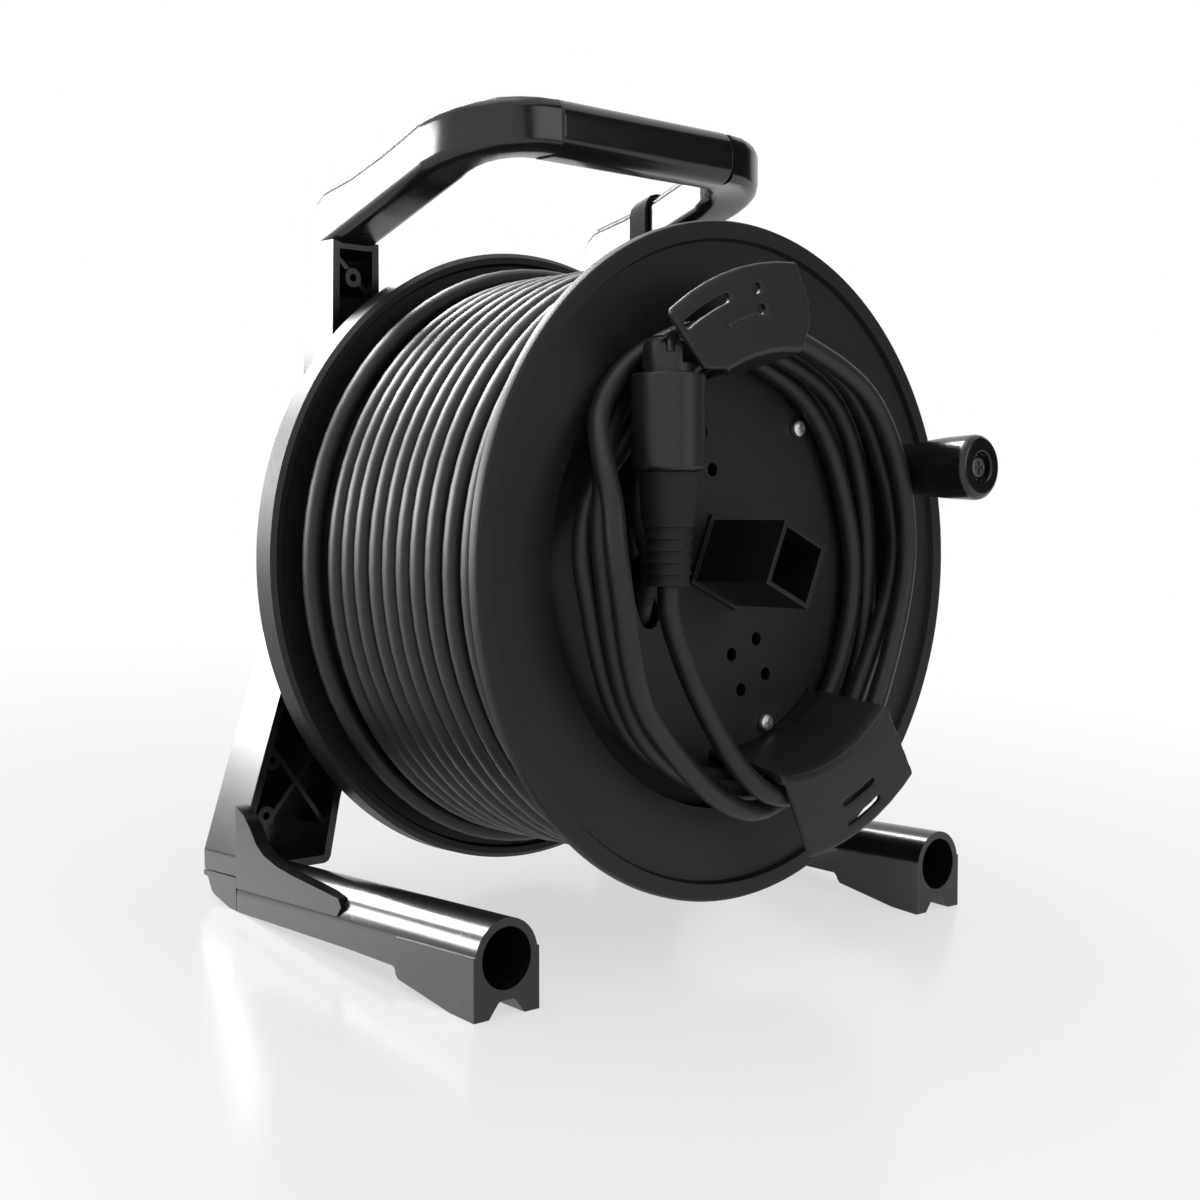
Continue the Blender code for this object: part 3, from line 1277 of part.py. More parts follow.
def arm_ring(row, side, grow=0.0):
    x, y, turn, low, high = row
    width = ARM_W + 2 * grow + (BAR_W - ARM_W) * turn / 90
    height = high - low + 2 * grow
    section = rounded_section(width, height, ARM_ROUND + grow)
    across = Vector((cos(radians(turn)), -sin(radians(turn)), 0))
    middle = Vector((x, y, (low + high) / 2))
    ring = [middle + across * u + Vector((0, 0, v)) for u, v in section]
    return [Vector((p.x * side, p.y, p.z)) for p in ring]


def make_arm(side):
    return loft("arm", [arm_ring(row, side) for row in arm_path()])


def make_frame():
    outline = frame_outline()
    front = Y_FRAME - 5 * MM
    frame = flat_shape("rear_frame", [outline], Y_FRAME, Y_FRAME_BACK)
    keep_inside(frame, flat_shape("side_shape", [depth_profile(0, front)], -140 * MM, 140 * MM, "X"))
    pocket = flat_shape("frame_pocket", [inset(outline, FRAME_T)], front, Y_FRAME_BACK)
    keep_inside(pocket, flat_shape("pocket_side", [depth_profile(FRAME_T, front)],
                                   -140 * MM, 140 * MM, "X"))
    cut(frame, pocket)
    rib_top = Y_FRAME + RIB_BELOW
    for side in (-1, 1):
        for start, end in FRAME_RIBS:
            a = Vector((start[0] * side, start[1])) * MM
            b = Vector((end[0] * side, end[1])) * MM
            middle = (a + b) / 2
            slope = -atan2(b.y - a.y, b.x - a.x) * 180 / pi
            rib = block("rib", ((b - a).length, Y_FRAME_BACK - rib_top, FRAME_RIB_T),
                        (middle.x, (Y_FRAME_BACK + rib_top) / 2, middle.y), slope)
            keep_inside(rib, flat_shape("rib_side", [depth_profile(FRAME_T / 2, front)],
                                        -140 * MM, 140 * MM, "X"))
            fuse(frame, rib)
    fuse(frame, rod("hub", HUB_BOSS_R, Y_FRAME, Y_FRAME_BACK - FRAME_T / 2, sides=36))
    bosses = []
    for side in (-1, 1):
        for x, z in LEG_BOSSES:
            bosses.append((x * side, z, Y_FRAME_BACK))
        bosses.append((ARM_X * side, POST_TOP - TOP_BOSS_BELOW, Y_FRAME_BACK - POST_THINNER))
    for x, z, back in bosses:
        fuse(frame, rod("frame_boss", FRAME_BOSS_R, Y_FRAME + 2 * MM, back - FRAME_T / 2,
                        at=(x, z), sides=14))
    for side in (-1, 1):
        fuse(frame, make_arm(side))
    reach = GRIP_HALF + 6 * MM
    fuse(frame, rod("grip_core", CORE_R, -reach, reach, "X", (BAR_Y, BAR_BOTTOM + BAR_H / 2)))
    for x, z, back in bosses:
        cut(frame, rod("boss_bore", FRAME_BOSS_BORE, Y_FRAME, back - FRAME_T - 1 * MM, at=(x, z),
                       sides=8))
    cut(frame, rod("axle_bore", AXLE_R + GAP, front, Y_FRAME_BACK + 5 * MM),
        rod("nut_recess", NUT_RECESS_R, Y_FRAME + HUB_WEB_T, Y_FRAME_BACK + 5 * MM, sides=28))
    for side in (-1, 1):
        cut(frame, rod("leg_screw_hole", LEG_SCREW_R + GAP, LEG_BOTTOM - 5 * MM,
                       LEG_BOTTOM + FRAME_T + 5 * MM, "Z", (LEG_SCREW_X * side, LEG_SCREW_Y), 12))
    return give_material(frame, "black_plastic")


def make_handle_grip():
    rings = []
    for x, shrink in ((-GRIP_HALF, 0.8), (-GRIP_HALF + 1.2 * MM, 0), (GRIP_HALF - 1.2 * MM, 0),
                      (GRIP_HALF, 0.8)):
        section = rounded_section(BAR_W + 2 * GRIP_PROUD - shrink * MM,
                                  BAR_H + 2 * GRIP_PROUD - shrink * MM, BAR_ROUND, 5)
        rings.append([Vector((x, BAR_Y + u, BAR_BOTTOM + BAR_H / 2 + v)) for u, v in section])
    grip = loft("handle_grip", rings)
    cut(grip, rod("grip_bore", CORE_R + GAP, -GRIP_HALF - 5 * MM, GRIP_HALF + 5 * MM, "X",
                  (BAR_Y, BAR_BOTTOM + BAR_H / 2)))
    return give_material(grip, "soft_grip")


def strap_rings(grow, start, end):
    rings = []
    for y in (start, (start + end) / 2, end):
        low, high = arm_heights(y)
        rings.append(arm_ring((ARM_X, y, 0.0, low, high), 1, grow))
    return rings


def make_strap():
    start = STRAP_Y + STRAP_W / 2
    end = STRAP_Y - STRAP_W / 2
    strap = loft("arm_strap", strap_rings(GAP + STRAP_T, start, end))
    cut(strap, loft("strap_inside", strap_rings(GAP, start + 3 * MM, end - 3 * MM)))
    return give_material(strap, "soft_grip")


# Feet

def foot_section(centre, width, top_arc=True):
    low = -150 * MM
    if top_arc:
        return arc(width, 0, 180, 16, (centre, FOOT_Z)) + [(centre - width, low), (centre + width, low)]
    return [(centre - width, low), (centre + width, low), (centre + width, BLOCK_TOP),
            (centre - width, BLOCK_TOP)]


def ground_z(y):
    """Height of the ground in the reel's frame under a place along the axis."""
    return GROUND_FRONT + (y - GROUND_FRONT_Y) * tan(LEAN)


def make_foot(name, side):
    x = FOOT_X * side
    end = Y_FRAME - GAP
    low = GROUND_CUT
    foot = flat_shape(name, [foot_section(x, FOOT_R)], FOOT_FRONT, end)
    level = FOOT_FRONT + BLOCK_LEVEL_L
    keep = [(FOOT_FRONT - 5 * MM, -90 * MM), (end + 5 * MM, -90 * MM), (end + 5 * MM, FOOT_UNDER_REAR),
            (60 * MM, -125.8 * MM), (BLOCK_L, FOOT_UNDER_FRONT), (BLOCK_L - 3.4 * MM, -130.4 * MM),
            (level, ground_z(level) - low), (FOOT_FRONT - 5 * MM, ground_z(FOOT_FRONT - 5 * MM) - low)]
    block_part = flat_shape("front_block", [foot_section(x, FOOT_R + BLOCK_PROUD, False)],
                            FOOT_FRONT, BLOCK_L - 2 * MM)
    fuse(foot, block_part)
    keep_inside(foot, flat_shape("foot_side", [keep], -140 * MM, 140 * MM, "X"))
    fin = [(end, FIN_TOP), (124 * MM, -89.2 * MM), (119.8 * MM, -93.6 * MM), (116.4 * MM, -98.2 * MM),
           (111.6 * MM, -101.8 * MM), (103.5 * MM, -104.6 * MM), (92 * MM, -106.6 * MM),
           (78 * MM, -108.4 * MM), (FIN_REACH + 1.5 * MM, FIN_TAIL_Z),
           (FIN_REACH, FIN_TAIL_Z - 2.6 * MM), (FIN_REACH + 2.5 * MM, FIN_LOWER_Z - 2 * MM),
           (end, FIN_LOWER_Z - 2 * MM)]
    near = min(side * FIN_OUT, side * (FIN_OUT - FIN_T))
    fuse(foot, flat_shape("fin", [fin], near, near + FIN_T, "X"))
    bore = rod("foot_bore", FOOT_BORE_R, FOOT_FRONT - 5 * MM, FOOT_FRONT + FOOT_BORE_L,
               at=(x, FOOT_Z), sides=32)
    notch = flat_shape("foot_notch", [rounded([
        (x - NOTCH_HALF, BLOCK_BOTTOM - 3 * MM, 0), (x + NOTCH_HALF, BLOCK_BOTTOM - 3 * MM, 0),
        (x + NOTCH_TOP_HALF, NOTCH_TOP, 2 * MM), (x - NOTCH_TOP_HALF, NOTCH_TOP, 2 * MM)])],
        FOOT_FRONT - 5 * MM, BLOCK_L + 5 * MM)
    cut(foot, bore, notch, rod("web_hole", CAP_SCREW_R + GAP, end - FOOT_WEB_L, end + 5 * MM,
                               at=(x, CAP_SCREW_Z), sides=12))
    cut(foot, make_ground())
    return give_material(foot, "black_plastic")


def make_ground():
    """The space under the ground, in the reel's frame."""
    ground = block("ground", (0.4, 0.4, 0.05), (0, 0, 0))
    middle = Vector((0, 60 * MM, ground_z(60 * MM)))
    turn = Matrix.Rotation(LEAN, 4, "X")
    ground.matrix_world = Matrix.Translation(middle) @ turn @ Matrix.Translation((0, 0, -0.025))
    return ground


def make_cap(name, side):
    x = FOOT_X * side
    front = Y_FRAME
    back = Y_FRAME_BACK - GAP
    top = LEG_BOTTOM - GAP
    cap = flat_shape(name, [rounded([(x - FOOT_R, top, 0), (x + FOOT_R, top, 0),
                                     (x + FOOT_R, -127 * MM, 2 * MM), (x - FOOT_R, -127 * MM, 2 * MM)])],
                     front, back)
    keep = rounded([(front - 5 * MM, -100 * MM, 0), (back + 1 * MM, -100 * MM, 0),
                    (back + 1 * MM, -114.0 * MM, 1 * MM), (148.6 * MM, -114.4 * MM, 1 * MM),
                    (145.6 * MM, -120.0 * MM, 5 * MM), (138.0 * MM, ground_z(138.0 * MM) + 1.0 * MM, 4 * MM),
                    (132.8 * MM, ground_z(132.8 * MM) - GROUND_CUT, 0),
                    (front - 5 * MM, ground_z(front - 5 * MM) - GROUND_CUT, 0)], steps=4)
    keep_inside(cap, flat_shape("cap_side", [keep], -140 * MM, 140 * MM, "X"))
    seat = CAP_SCREW_SEAT
    cut(cap, rod("cap_bore", CAP_SCREW_R + GAP, front - 5 * MM, back + 5 * MM, at=(x, CAP_SCREW_Z),
                 sides=12),
        rod("cap_recess", CAP_SCREW_HEAD_R + GAP, seat, back + 5 * MM, at=(x, CAP_SCREW_Z), sides=24),
        rod("cap_hole", LEG_SCREW_R + GAP, LEG_BOTTOM - 4.8 * MM, top + 5 * MM, "Z", (LEG_SCREW_X * side, LEG_SCREW_Y), 12),
        make_ground())
    return give_material(cap, "soft_grip")


def make_cap_screws():
    screws = []
    for side in (-1, 1):
        seat = CAP_SCREW_SEAT + GAP
        screw = turned_solid(("left" if side < 0 else "right") + "_cap_screw", [
            (0, seat + CAP_SCREW_HEAD_H), (CAP_SCREW_HEAD_R * 0.8, seat + CAP_SCREW_HEAD_H),
            (CAP_SCREW_HEAD_R, seat + CAP_SCREW_HEAD_H * 0.4), (CAP_SCREW_HEAD_R, seat),
            (CAP_SCREW_R, seat), (CAP_SCREW_R, seat - CAP_SCREW_L), (0, seat - CAP_SCREW_L)], steps=10)
        screw.location = (FOOT_X * side, 0, CAP_SCREW_Z)
        screws.append(give_material(screw, "bright_steel"))
    return screws


def make_leg_screws():
    screws = []
    seat = LEG_BOTTOM + FRAME_T + GAP
    for side in (-1, 1):
        screw = turned_solid(("left" if side < 0 else "right") + "_leg_screw", [
            (0, seat + LEG_SCREW_HEAD_H), (LEG_SCREW_HEAD_R * 0.8, seat + LEG_SCREW_HEAD_H),
            (LEG_SCREW_HEAD_R, seat + LEG_SCREW_HEAD_H * 0.4), (LEG_SCREW_HEAD_R, seat),
            (LEG_SCREW_R, seat), (LEG_SCREW_R, seat - LEG_SCREW_L), (0, seat - LEG_SCREW_L)], steps=10)
        screw.rotation_euler = (0, 0, 0)
        screw.location = (LEG_SCREW_X * side, LEG_SCREW_Y, 0)
        screws.append(give_material(screw, "bright_steel"))
    return screws


# Assembly: each piece hangs on the empty of its body

def empty(name, parent=None, place=(0, 0, 0), turn=(0, 0, 0)):
    node = bpy.data.objects.new(name, None)
    node.empty_display_size = 0.02
    PARTS.objects.link(node)
    node.location = place
    node.rotation_euler = turn
    node.parent = parent
    return node


def hang(obj, parent, seen=None):
    """Gives the object and every cutter it uses the same parent, each keeping its own place."""
    seen = set() if seen is None else seen
    if obj is None or obj.name in seen:
        return
    seen.add(obj.name)
    obj.parent = parent
    for mod in obj.modifiers:
        if mod.type == "BOOLEAN":
            hang(mod.object, parent, seen)


frame_root = empty("standing_frame", None, (0, SHIFT_Y, LIFT), (-LEAN, 0, 0))
drum_root = empty("drum", frame_root, (0, 0, 0), (0, -radians(DRUM_TURN), 0))
grip_root = empty("crank", drum_root, (CRANK_CIRCLE, 0, 0))
cord_root = empty("cord_place", drum_root, (0, 0, 0), (0, radians(DRUM_TURN), 0))

frame_parts = [
    make_frame(), make_handle_grip(), make_strap(),
    make_foot("left_foot", -1), make_foot("right_foot", 1),
    make_cap("left_foot_cap", -1), make_cap("right_foot_cap", 1),
    *make_cap_screws(), *make_leg_screws(), make_axle(),
    make_washer("retaining_washer", FRONT_WASHER_R, AXLE_SCREW_R + GAP,
                AXLE_FRONT - GAP - WASHER_T, AXLE_FRONT - GAP),
    make_axle_screw(),
    make_washer("axle_washer", REAR_WASHER_R, AXLE_R + GAP, Y_NUT - GAP - WASHER_T, Y_NUT - GAP),
    make_axle_nut(),
]
drum_parts = [
    make_front_flange(), make_rear_flange(), make_barrel(),
    make_bush("front_bush", Y_LEDGE_BACK, Y_BARREL + BUSH_L, Y_LEDGE, Y_LEDGE_BACK),
    make_bush("rear_bush", Y_BARREL_END - BUSH_L, Y_REAR_FACE, Y_REAR_FACE,
              Y_REAR_FACE + BUSH_FLANGE_T),
    make_panel(), *make_screws("panel_screw", Y_PANEL - GAP, 1),
    *make_screws("flange_screw", Y_REAR_BACK + GAP, -1), make_square_post(),
    make_saddle("lower_cable_saddle", LOWER_WALL, LOWER_WALL_FOOT, LOWER_LIP, LOWER_SLOTS, ()),
    make_saddle("upper_cable_saddle", UPPER_WALL, UPPER_WALL_FOOT, UPPER_LIP, UPPER_SLOTS,
                UPPER_HOLES, CREASE_ANGLES),
    make_spindle(), make_crank_screw(), make_crank_washer(),
    make_winding_core(), make_wound_cable(), make_inner_cable(),
]
cord_parts = [make_stored_cable()] + make_connector()
grip_parts = [make_grip()]
for root, pieces in ((frame_root, frame_parts), (drum_root, drum_parts), (cord_root, cord_parts),
                     (grip_root, grip_parts)):
    for piece in pieces:
        hang(piece, root)
bpy.context.view_layer.update()
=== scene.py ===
"""Network cable reel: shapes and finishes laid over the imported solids.

Lengths are in metres and +Z is up. The reel's own frame has X across, Y along the drum's axis from
the front to the back and the origin on that axis in the plane of the front rim. REEL takes a point
of that frame to its place on the ground.
"""

from math import cos, hypot, pi, radians, sin

import bmesh
import bpy
from mathutils import Matrix, Vector


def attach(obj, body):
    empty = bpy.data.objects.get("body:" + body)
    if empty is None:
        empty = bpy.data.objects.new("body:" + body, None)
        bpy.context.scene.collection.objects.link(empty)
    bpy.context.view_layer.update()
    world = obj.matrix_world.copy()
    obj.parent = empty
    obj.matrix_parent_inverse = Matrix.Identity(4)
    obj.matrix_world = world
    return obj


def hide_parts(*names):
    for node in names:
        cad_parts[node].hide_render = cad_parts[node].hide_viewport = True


bl_info = {
    "name": "Network cable reel",
    "version": (1, 0, 0),
    "blender": (4, 5, 0),
    "location": "3D View > Sidebar > Cable reel",
    "description": "Builds the finished pieces of a network cable reel around its solids",
    "category": "Object",
}

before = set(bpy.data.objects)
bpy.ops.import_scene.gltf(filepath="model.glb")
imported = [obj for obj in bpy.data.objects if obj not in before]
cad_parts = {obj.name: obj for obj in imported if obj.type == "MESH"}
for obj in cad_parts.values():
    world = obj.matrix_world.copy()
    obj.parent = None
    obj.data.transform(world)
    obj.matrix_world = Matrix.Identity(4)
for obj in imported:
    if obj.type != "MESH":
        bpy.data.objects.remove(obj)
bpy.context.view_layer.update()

MM = 0.001
UP = Vector((0, 0, 1))
WHITE = (1, 1, 1, 1)

# Stance of the reel: where its origin stands, its lean and the turn of its drum, in degrees
STAND = (0, -59.63 * MM, 135.99 * MM)
LEAN = 5.456015
REEL = Matrix.Translation(STAND) @ Matrix.Rotation(-radians(LEAN), 4, "X")
DRUM_TURN = 21
DRUM_TURNED = Matrix.Rotation(radians(-DRUM_TURN), 4, "Y")

# Skins of the solids. Points nearer than MERGE become one and faces within FLAT degrees are joined.
# An edge is rounded where its faces meet at more than EDGE_ANGLE degrees
MERGE = 0.00001
FLAT = 0.4
EDGE_ANGLE = 30.0
FINE_EDGE_ANGLE = 24.0
EDGE_PARTS = 2
CORE_EDGE = 0.3 * MM
LEVEL_WEIGHT = 90
SADDLE_PASSES = 6
SADDLE_EASE = 0.5

# Rims that get more points: the least radius, the shortest edge, how nearly its two ends share a
# circle, and how far its middle may lie inside that circle
RIM_LEAST = 20.0 * MM
RIM_SHORTEST = 1.2 * MM
RIM_SAME = 0.02 * MM
RIM_SAG = 0.25 * MM
RIM_CUTS = 2

# Cable. The outer layer has LOOP_POINTS points to a turn, and each stretch between two points of a
# route is cut into LINE_PARTS, or LEAD_PARTS inside the barrel
CABLE_R = 3.6 * MM
LOOP_POINTS = 24
LINE_PARTS = 3
LEAD_PARTS = 6
WINDING_R = 102.4 * MM
WINDING_TURNS = 12
WINDING_START = -20
WINDING_FRONT = 8.6 * MM
WINDING_REAR = 107.2 * MM
FRONT_TURN_SPACE = 3.2 * MM
REAR_TURN_SPACE = 2.4 * MM
REAR_TURN_RISE = 4.2 * MM
WINDING_SWAY = 0.34 * MM
TUCK_R = 7.0 * MM
TUCK_PARTS = 12
CORE_LAY = 6

# The sway of the outer layer: rate and start in radians per turn, and share of WINDING_SWAY
SWAY_WAVES = ((4.7, 0, 0.6), (11.3, 1, 0.4))
RISE_RATE = 9.1

# Where the outer layer leaves an even helix, in turns from the front or, where the name says BACK,
# back from the rear end, and how many turns each change takes
FRONT_SPACE_AT = 2.0
REAR_SPACE_BACK = 1.6
SPACE_TAKES = 0.8
RISE_BACK = 1.2
RISE_TAKES = 0.3
FALL_BACK = 0.3
FALL_TAKES = 0.25
SWAY_TAKES = 0.5

# Points of the stored cable in millimetres, from the connector to the slot in the floor panel
STORED_ROUTE = (
    (-49.50, -14.50, -6.30), (-49.50, -14.50, -13.50), (-46.25, -14.40, -22.23),
    (-38.97, -14.80, -37.41), (-30.29, -16.05, -52.30), (-20.67, -18.24, -66.47),
    (-7.44, -19.88, -77.07), (8.96, -20.25, -79.89), (25.77, -20.13, -79.16),
    (40.00, -19.05, -70.60), (50.93, -17.24, -57.99), (60.54, -15.25, -44.36),
    (69.07, -13.33, -29.99), (76.24, -11.67, -14.91), (80.29, -10.77, 1.29), (78.34, -11.46, 17.91),
    (71.86, -13.12, 33.36), (62.40, -14.95, 47.25), (50.30, -16.34, 59.10), (35.15, -17.54, 67.11),
    (18.82, -18.61, 72.77), (1.97, -19.16, 77.31), (-15.03, -16.74, 79.75), (-30.67, -9.55, 76.19),
    (-45.94, -2.06, 70.86), (-60.03, -2.05, 61.32), (-69.58, -3.51, 49.04), (-74.81, -10.09, 35.70),
    (-76.85, -16.95, 21.36), (-77.66, -20.05, 5.21), (-74.70, -20.23, -11.46),
    (-70.81, -19.25, -28.08), (-63.88, -17.80, -43.79), (-52.08, -16.59, -56.60),
    (-39.04, -15.74, -68.44), (-24.44, -14.85, -78.49), (-7.76, -13.68, -84.09),
    (9.08, -12.18, -81.48), (24.06, -10.76, -73.94), (38.06, -9.14, -65.02), (50.99, -7.60, -54.82),
    (61.01, -6.15, -41.48), (70.33, -4.84, -27.54), (78.51, -3.63, -12.87), (83.22, -2.95, 3.40),
    (79.77, -3.71, 20.48), (71.43, -5.43, 36.15), (60.99, -7.48, 50.10), (48.58, -8.85, 62.08),
    (33.53, -10.04, 70.16), (17.54, -11.03, 76.02), (1.18, -11.38, 80.77), (-15.14, -8.33, 82.08),
    (-29.32, -1.59, 75.67), (-41.88, 3.27, 65.55), (-52.91, 3.95, 52.62), (-63.40, -0.44, 40.62),
    (-70.87, -6.84, 27.14), (-76.06, -11.21, 11.81), (-74.90, -12.26, -4.91),
    (-71.07, -11.43, -21.41), (-65.55, -10.04, -37.32), (-57.30, -8.56, -51.91),
    (-44.86, -7.46, -63.18), (-30.12, -6.56, -71.36), (-14.16, -5.63, -76.88),
    (2.58, -4.50, -79.01), (19.26, -3.13, -76.69), (35.13, -1.93, -71.16), (49.69, -0.66, -62.77),
    (61.50, 0.72, -50.95), (69.17, 2.25, -36.15), (73.63, 3.52, -19.94), (75.22, 3.95, -3.02),
    (73.19, 3.30, 13.87), (68.10, 1.85, 30.06), (60.25, 0.24, 45.05), (49.08, -1.27, 57.55),
    (34.61, -2.67, 65.67), (18.82, -3.51, 71.11), (2.67, -3.97, 75.07), (-13.61, -4.78, 74.78),
    (-27.95, -3.53, 66.61), (-39.55, 0.44, 55.67), (-49.82, 2.77, 42.90), (-61.31, 2.32, 31.04),
    (-71.64, -0.12, 18.48), (-77.51, -4.28, 4.04), (-74.01, -4.04, -12.33), (-68.74, -2.68, -28.23),
    (-61.61, -1.09, -43.44), (-51.06, 0.36, -56.53), (-36.76, 1.57, -65.63), (-20.86, 2.64, -71.71),
    (-4.13, 3.50, -74.84), (12.72, 3.94, -73.52), (28.50, 3.95, -67.83), (42.81, 3.95, -59.44),
    (54.26, 3.95, -47.77), (61.58, 3.95, -32.49), (65.92, 3.95, -15.93), (66.32, 3.95, 1.23),
    (62.57, 3.95, 18.05), (56.27, 3.95, 34.08), (47.54, 3.95, 48.86), (35.02, 3.95, 60.37),
    (19.92, 3.95, 67.70), (3.98, 3.95, 72.88), (-12.27, 3.95, 74.57), (-25.20, 3.95, 64.88),
    (-34.40, 3.95, 49.93), (-42.49, 3.91, 34.65), (-45.25, 3.23, 18.13), (-41.80, 1.35, 2.00),
    (-39.56, 5.18, -5.71), (-37.77, 9.00, -11.55),
)

# The cable between the slot and the winding, in millimetres and degrees: where it leaves the slot
# (radius, angle and depth), how steeply it dives, how far it stays straight, two more points, and
# its way out through the barrel's wall
SLOT_EXIT = (39.5, 176, 9.0)
SLOT_DIVE = 32
SLOT_STRAIGHT = (0.3, 7.5)
INNER_KNOTS = ((37.5, 187, 22.0), (42.0, 185, 31.0))
WALL_RADII = (51, 60.8, 68)
WALL_DEPTH = 36.0

# Screws: the circle and angles of those in the drum, and the places of those in the heels (across
# and up) and in the legs (across and back), on the right side
DRUM_SCREW_R = 61.9 * MM
DRUM_SCREW_ANGLES = (-90, 30, 150)
CAP_SCREW = (109.6 * MM, -117.2 * MM)
LEG_SCREW = (103.6 * MM, 140.6 * MM)


def on_reel(x, y, z):
    """A point of the reel's frame, in metres, where it stands."""
    return REEL @ Vector((x, y, z))


def round_about(radius, degrees):
    """The two sides of a point at that radius and angle."""
    return radius * cos(radians(degrees)), radius * sin(radians(degrees))


def ease(t):
    """A smooth step from 0 to 1."""
    t = max(0.0, min(1.0, t))
    return t * t * (3 - 2 * t)


# Shader maths

class Value:
    """A socket of a finish that takes part in sums."""

    def __init__(self, finish, socket):
        self.finish = finish
        self.socket = socket

    def _math(self, operation, *others):
        return self.finish.add("ShaderNodeMath", {"operation": operation}, self, *others)

    def __add__(self, other):
        return self._math("ADD", other)

    def __mul__(self, other):
        return self._math("MULTIPLY", other)

    def most(self, other):
        return self._math("MAXIMUM", other)

    def sine(self):
        return self._math("SINE")


class Finish:
    """A material made of nodes, with one shader and one output."""

    def __init__(self, name, **constants):
        self.material = bpy.data.materials.new(name)
        self.material.use_nodes = True
        self.tree = self.material.node_tree
        self.tree.nodes.clear()
        self.shader = self.tree.nodes.new("ShaderNodeBsdfPrincipled")
        self.end = self.tree.nodes.new("ShaderNodeOutputMaterial")
        self.tree.links.new(self.shader.outputs[0], self.end.inputs["Surface"])
        for socket, value in constants.items():
            self.shader.inputs[socket.replace("_", " ")].default_value = value

    def add(self, kind, settings=None, *values, out=0, **named):
        """A node of that kind, with its settings, and what its sockets hold or are joined to."""
        node = self.tree.nodes.new(kind)
        for key, value in (settings or {}).items():
            if key == "stops":
                ramp = node.color_ramp
                while len(ramp.elements) < len(value):
                    ramp.elements.new(0.5)
                for element, (place, shade) in zip(ramp.elements, value):
                    element.position = place
                    element.color = (shade, shade, shade, 1)
            else:
                setattr(node, key, value)
        pairs = list(enumerate(values)) + [(k.replace("_", " "), v) for k, v in named.items()]
        for key, value in pairs:
            if isinstance(value, Value):
                self.tree.links.new(value.socket, node.inputs[key])
            else:
                node.inputs[key].default_value = value
        return Value(self, node.outputs[out])

    def set(self, **sockets):
        """Joins sums to the shader's sockets."""
        for key, value in sockets.items():
            self.tree.links.new(value.socket, self.shader.inputs[key.replace("_", " ")])

    def place(self):
        """Where a point lies on the piece."""
        return self.add("ShaderNodeTexCoord", out="Object")

    def stretched(self, place, scale):
        return self.add("ShaderNodeVectorMath", {"operation": "MULTIPLY"}, place, scale)

    def noise(self, place, scale, detail, rough):
        return self.add("ShaderNodeTexNoise", None, Vector=place, Scale=scale, Detail=detail,
                        Roughness=rough)

    def ramp(self, value, *stops):
        """A grey ramp, by the place and shade of each stop."""
        return self.add("ShaderNodeValToRGB", {"stops": stops}, value)

    def shades(self, share, dark, light):
        """A colour between two, by a share."""
        mix = self.tree.nodes.new("ShaderNodeMix")
        mix.data_type = "RGBA"
        self.tree.links.new(share.socket, mix.inputs["Factor"])
        mix.inputs[6].default_value = (*dark, 1)
        mix.inputs[7].default_value = (*light, 1)
        return Value(self, mix.outputs[2])

    def relief(self, height, depth, strength):
        """Fine relief, of so many metres, in the shading alone."""
        self.set(Normal=self.add("ShaderNodeBump", None, Height=height, Distance=depth,
                                 Strength=strength))


def scaled(colour, share):
    """A lighter or darker colour of the same tint."""
    return tuple(c * share for c in colour)


def moulded(name, colour, rough, grain, depth, gloss=0.35, cloudy=0.16):
    """Moulded plastic: a fine even grain, cloudy gloss, light scuffs and edges rubbed paler."""
    f = Finish(name, Specular_IOR_Level=gloss)
    place = f.place()
    cloud = f.noise(place, scale=38.0, detail=4.0, rough=0.6)
    streaks = f.noise(f.stretched(place, (900.0, 240.0, 700.0)), scale=1.0, detail=3.0, rough=0.7)
    scuff = f.ramp(streaks, (0.62, 0.0), (0.78, 1.0))
    grains = f.noise(place, scale=1 / grain, detail=2.0, rough=0.6)
    edge = f.ramp(f.add("ShaderNodeNewGeometry", out="Pointiness"), (0.53, 0.0), (0.62, 1.0))
    patches = f.noise(place, scale=210.0, detail=3.0, rough=0.6)
    rubbed = edge * f.ramp(patches, (0.42, 0.0), (0.6, 1.0))
    worn = cloud * 0.7 + scuff * 0.5 + rubbed * 0.9
    f.set(Base_Color=f.shades(worn, scaled(colour, 0.8), scaled(colour, 1.5)),
          Roughness=cloud * cloudy + (rough - cloudy / 2) + scuff * 0.12 + rubbed * 0.06)
    f.relief(grains, depth, 0.7)
    return f.material


def soft_rubber(name, colour, rough):
    """Soft matt rubber with a patchy powdery bloom."""
    f = Finish(name, Specular_IOR_Level=0.28)
    place = f.place()
    cloud = f.noise(place, scale=70.0, detail=5.0, rough=0.6)
    pores = f.noise(place, scale=1500.0, detail=2.0, rough=0.5)
    f.set(Base_Color=f.shades(cloud, scaled(colour, 0.75), scaled(colour, 1.5)),
          Roughness=cloud * 0.14 + (rough - 0.07))
    f.relief(pores * 0.7 + cloud * 0.3, 0.00012, 0.6)
    return f.material


def woven(name, colour, rough, pitch):
    """Woven band: crossed threads under a short fuzzy pile."""
    f = Finish(name, Specular_IOR_Level=0.2)
    place = f.place()
    x, y, z = (f.add("ShaderNodeSeparateXYZ", None, place, out=i) for i in range(3))
    turn = 2 * pi / pitch
    threads = ((x + z) * turn).sine() * (y * turn).sine() * 0.5 + 0.5
    pile = f.noise(place, scale=2600.0, detail=3.0, rough=0.7)
    f.set(Base_Color=f.shades(threads * 0.5 + pile * 0.5, scaled(colour, 0.6), scaled(colour, 1.8)),
          Roughness=pile * 0.2 + (rough - 0.1))
    f.relief(threads * 0.6 + pile * 0.4, 0.00025, 0.8)
    return f.material


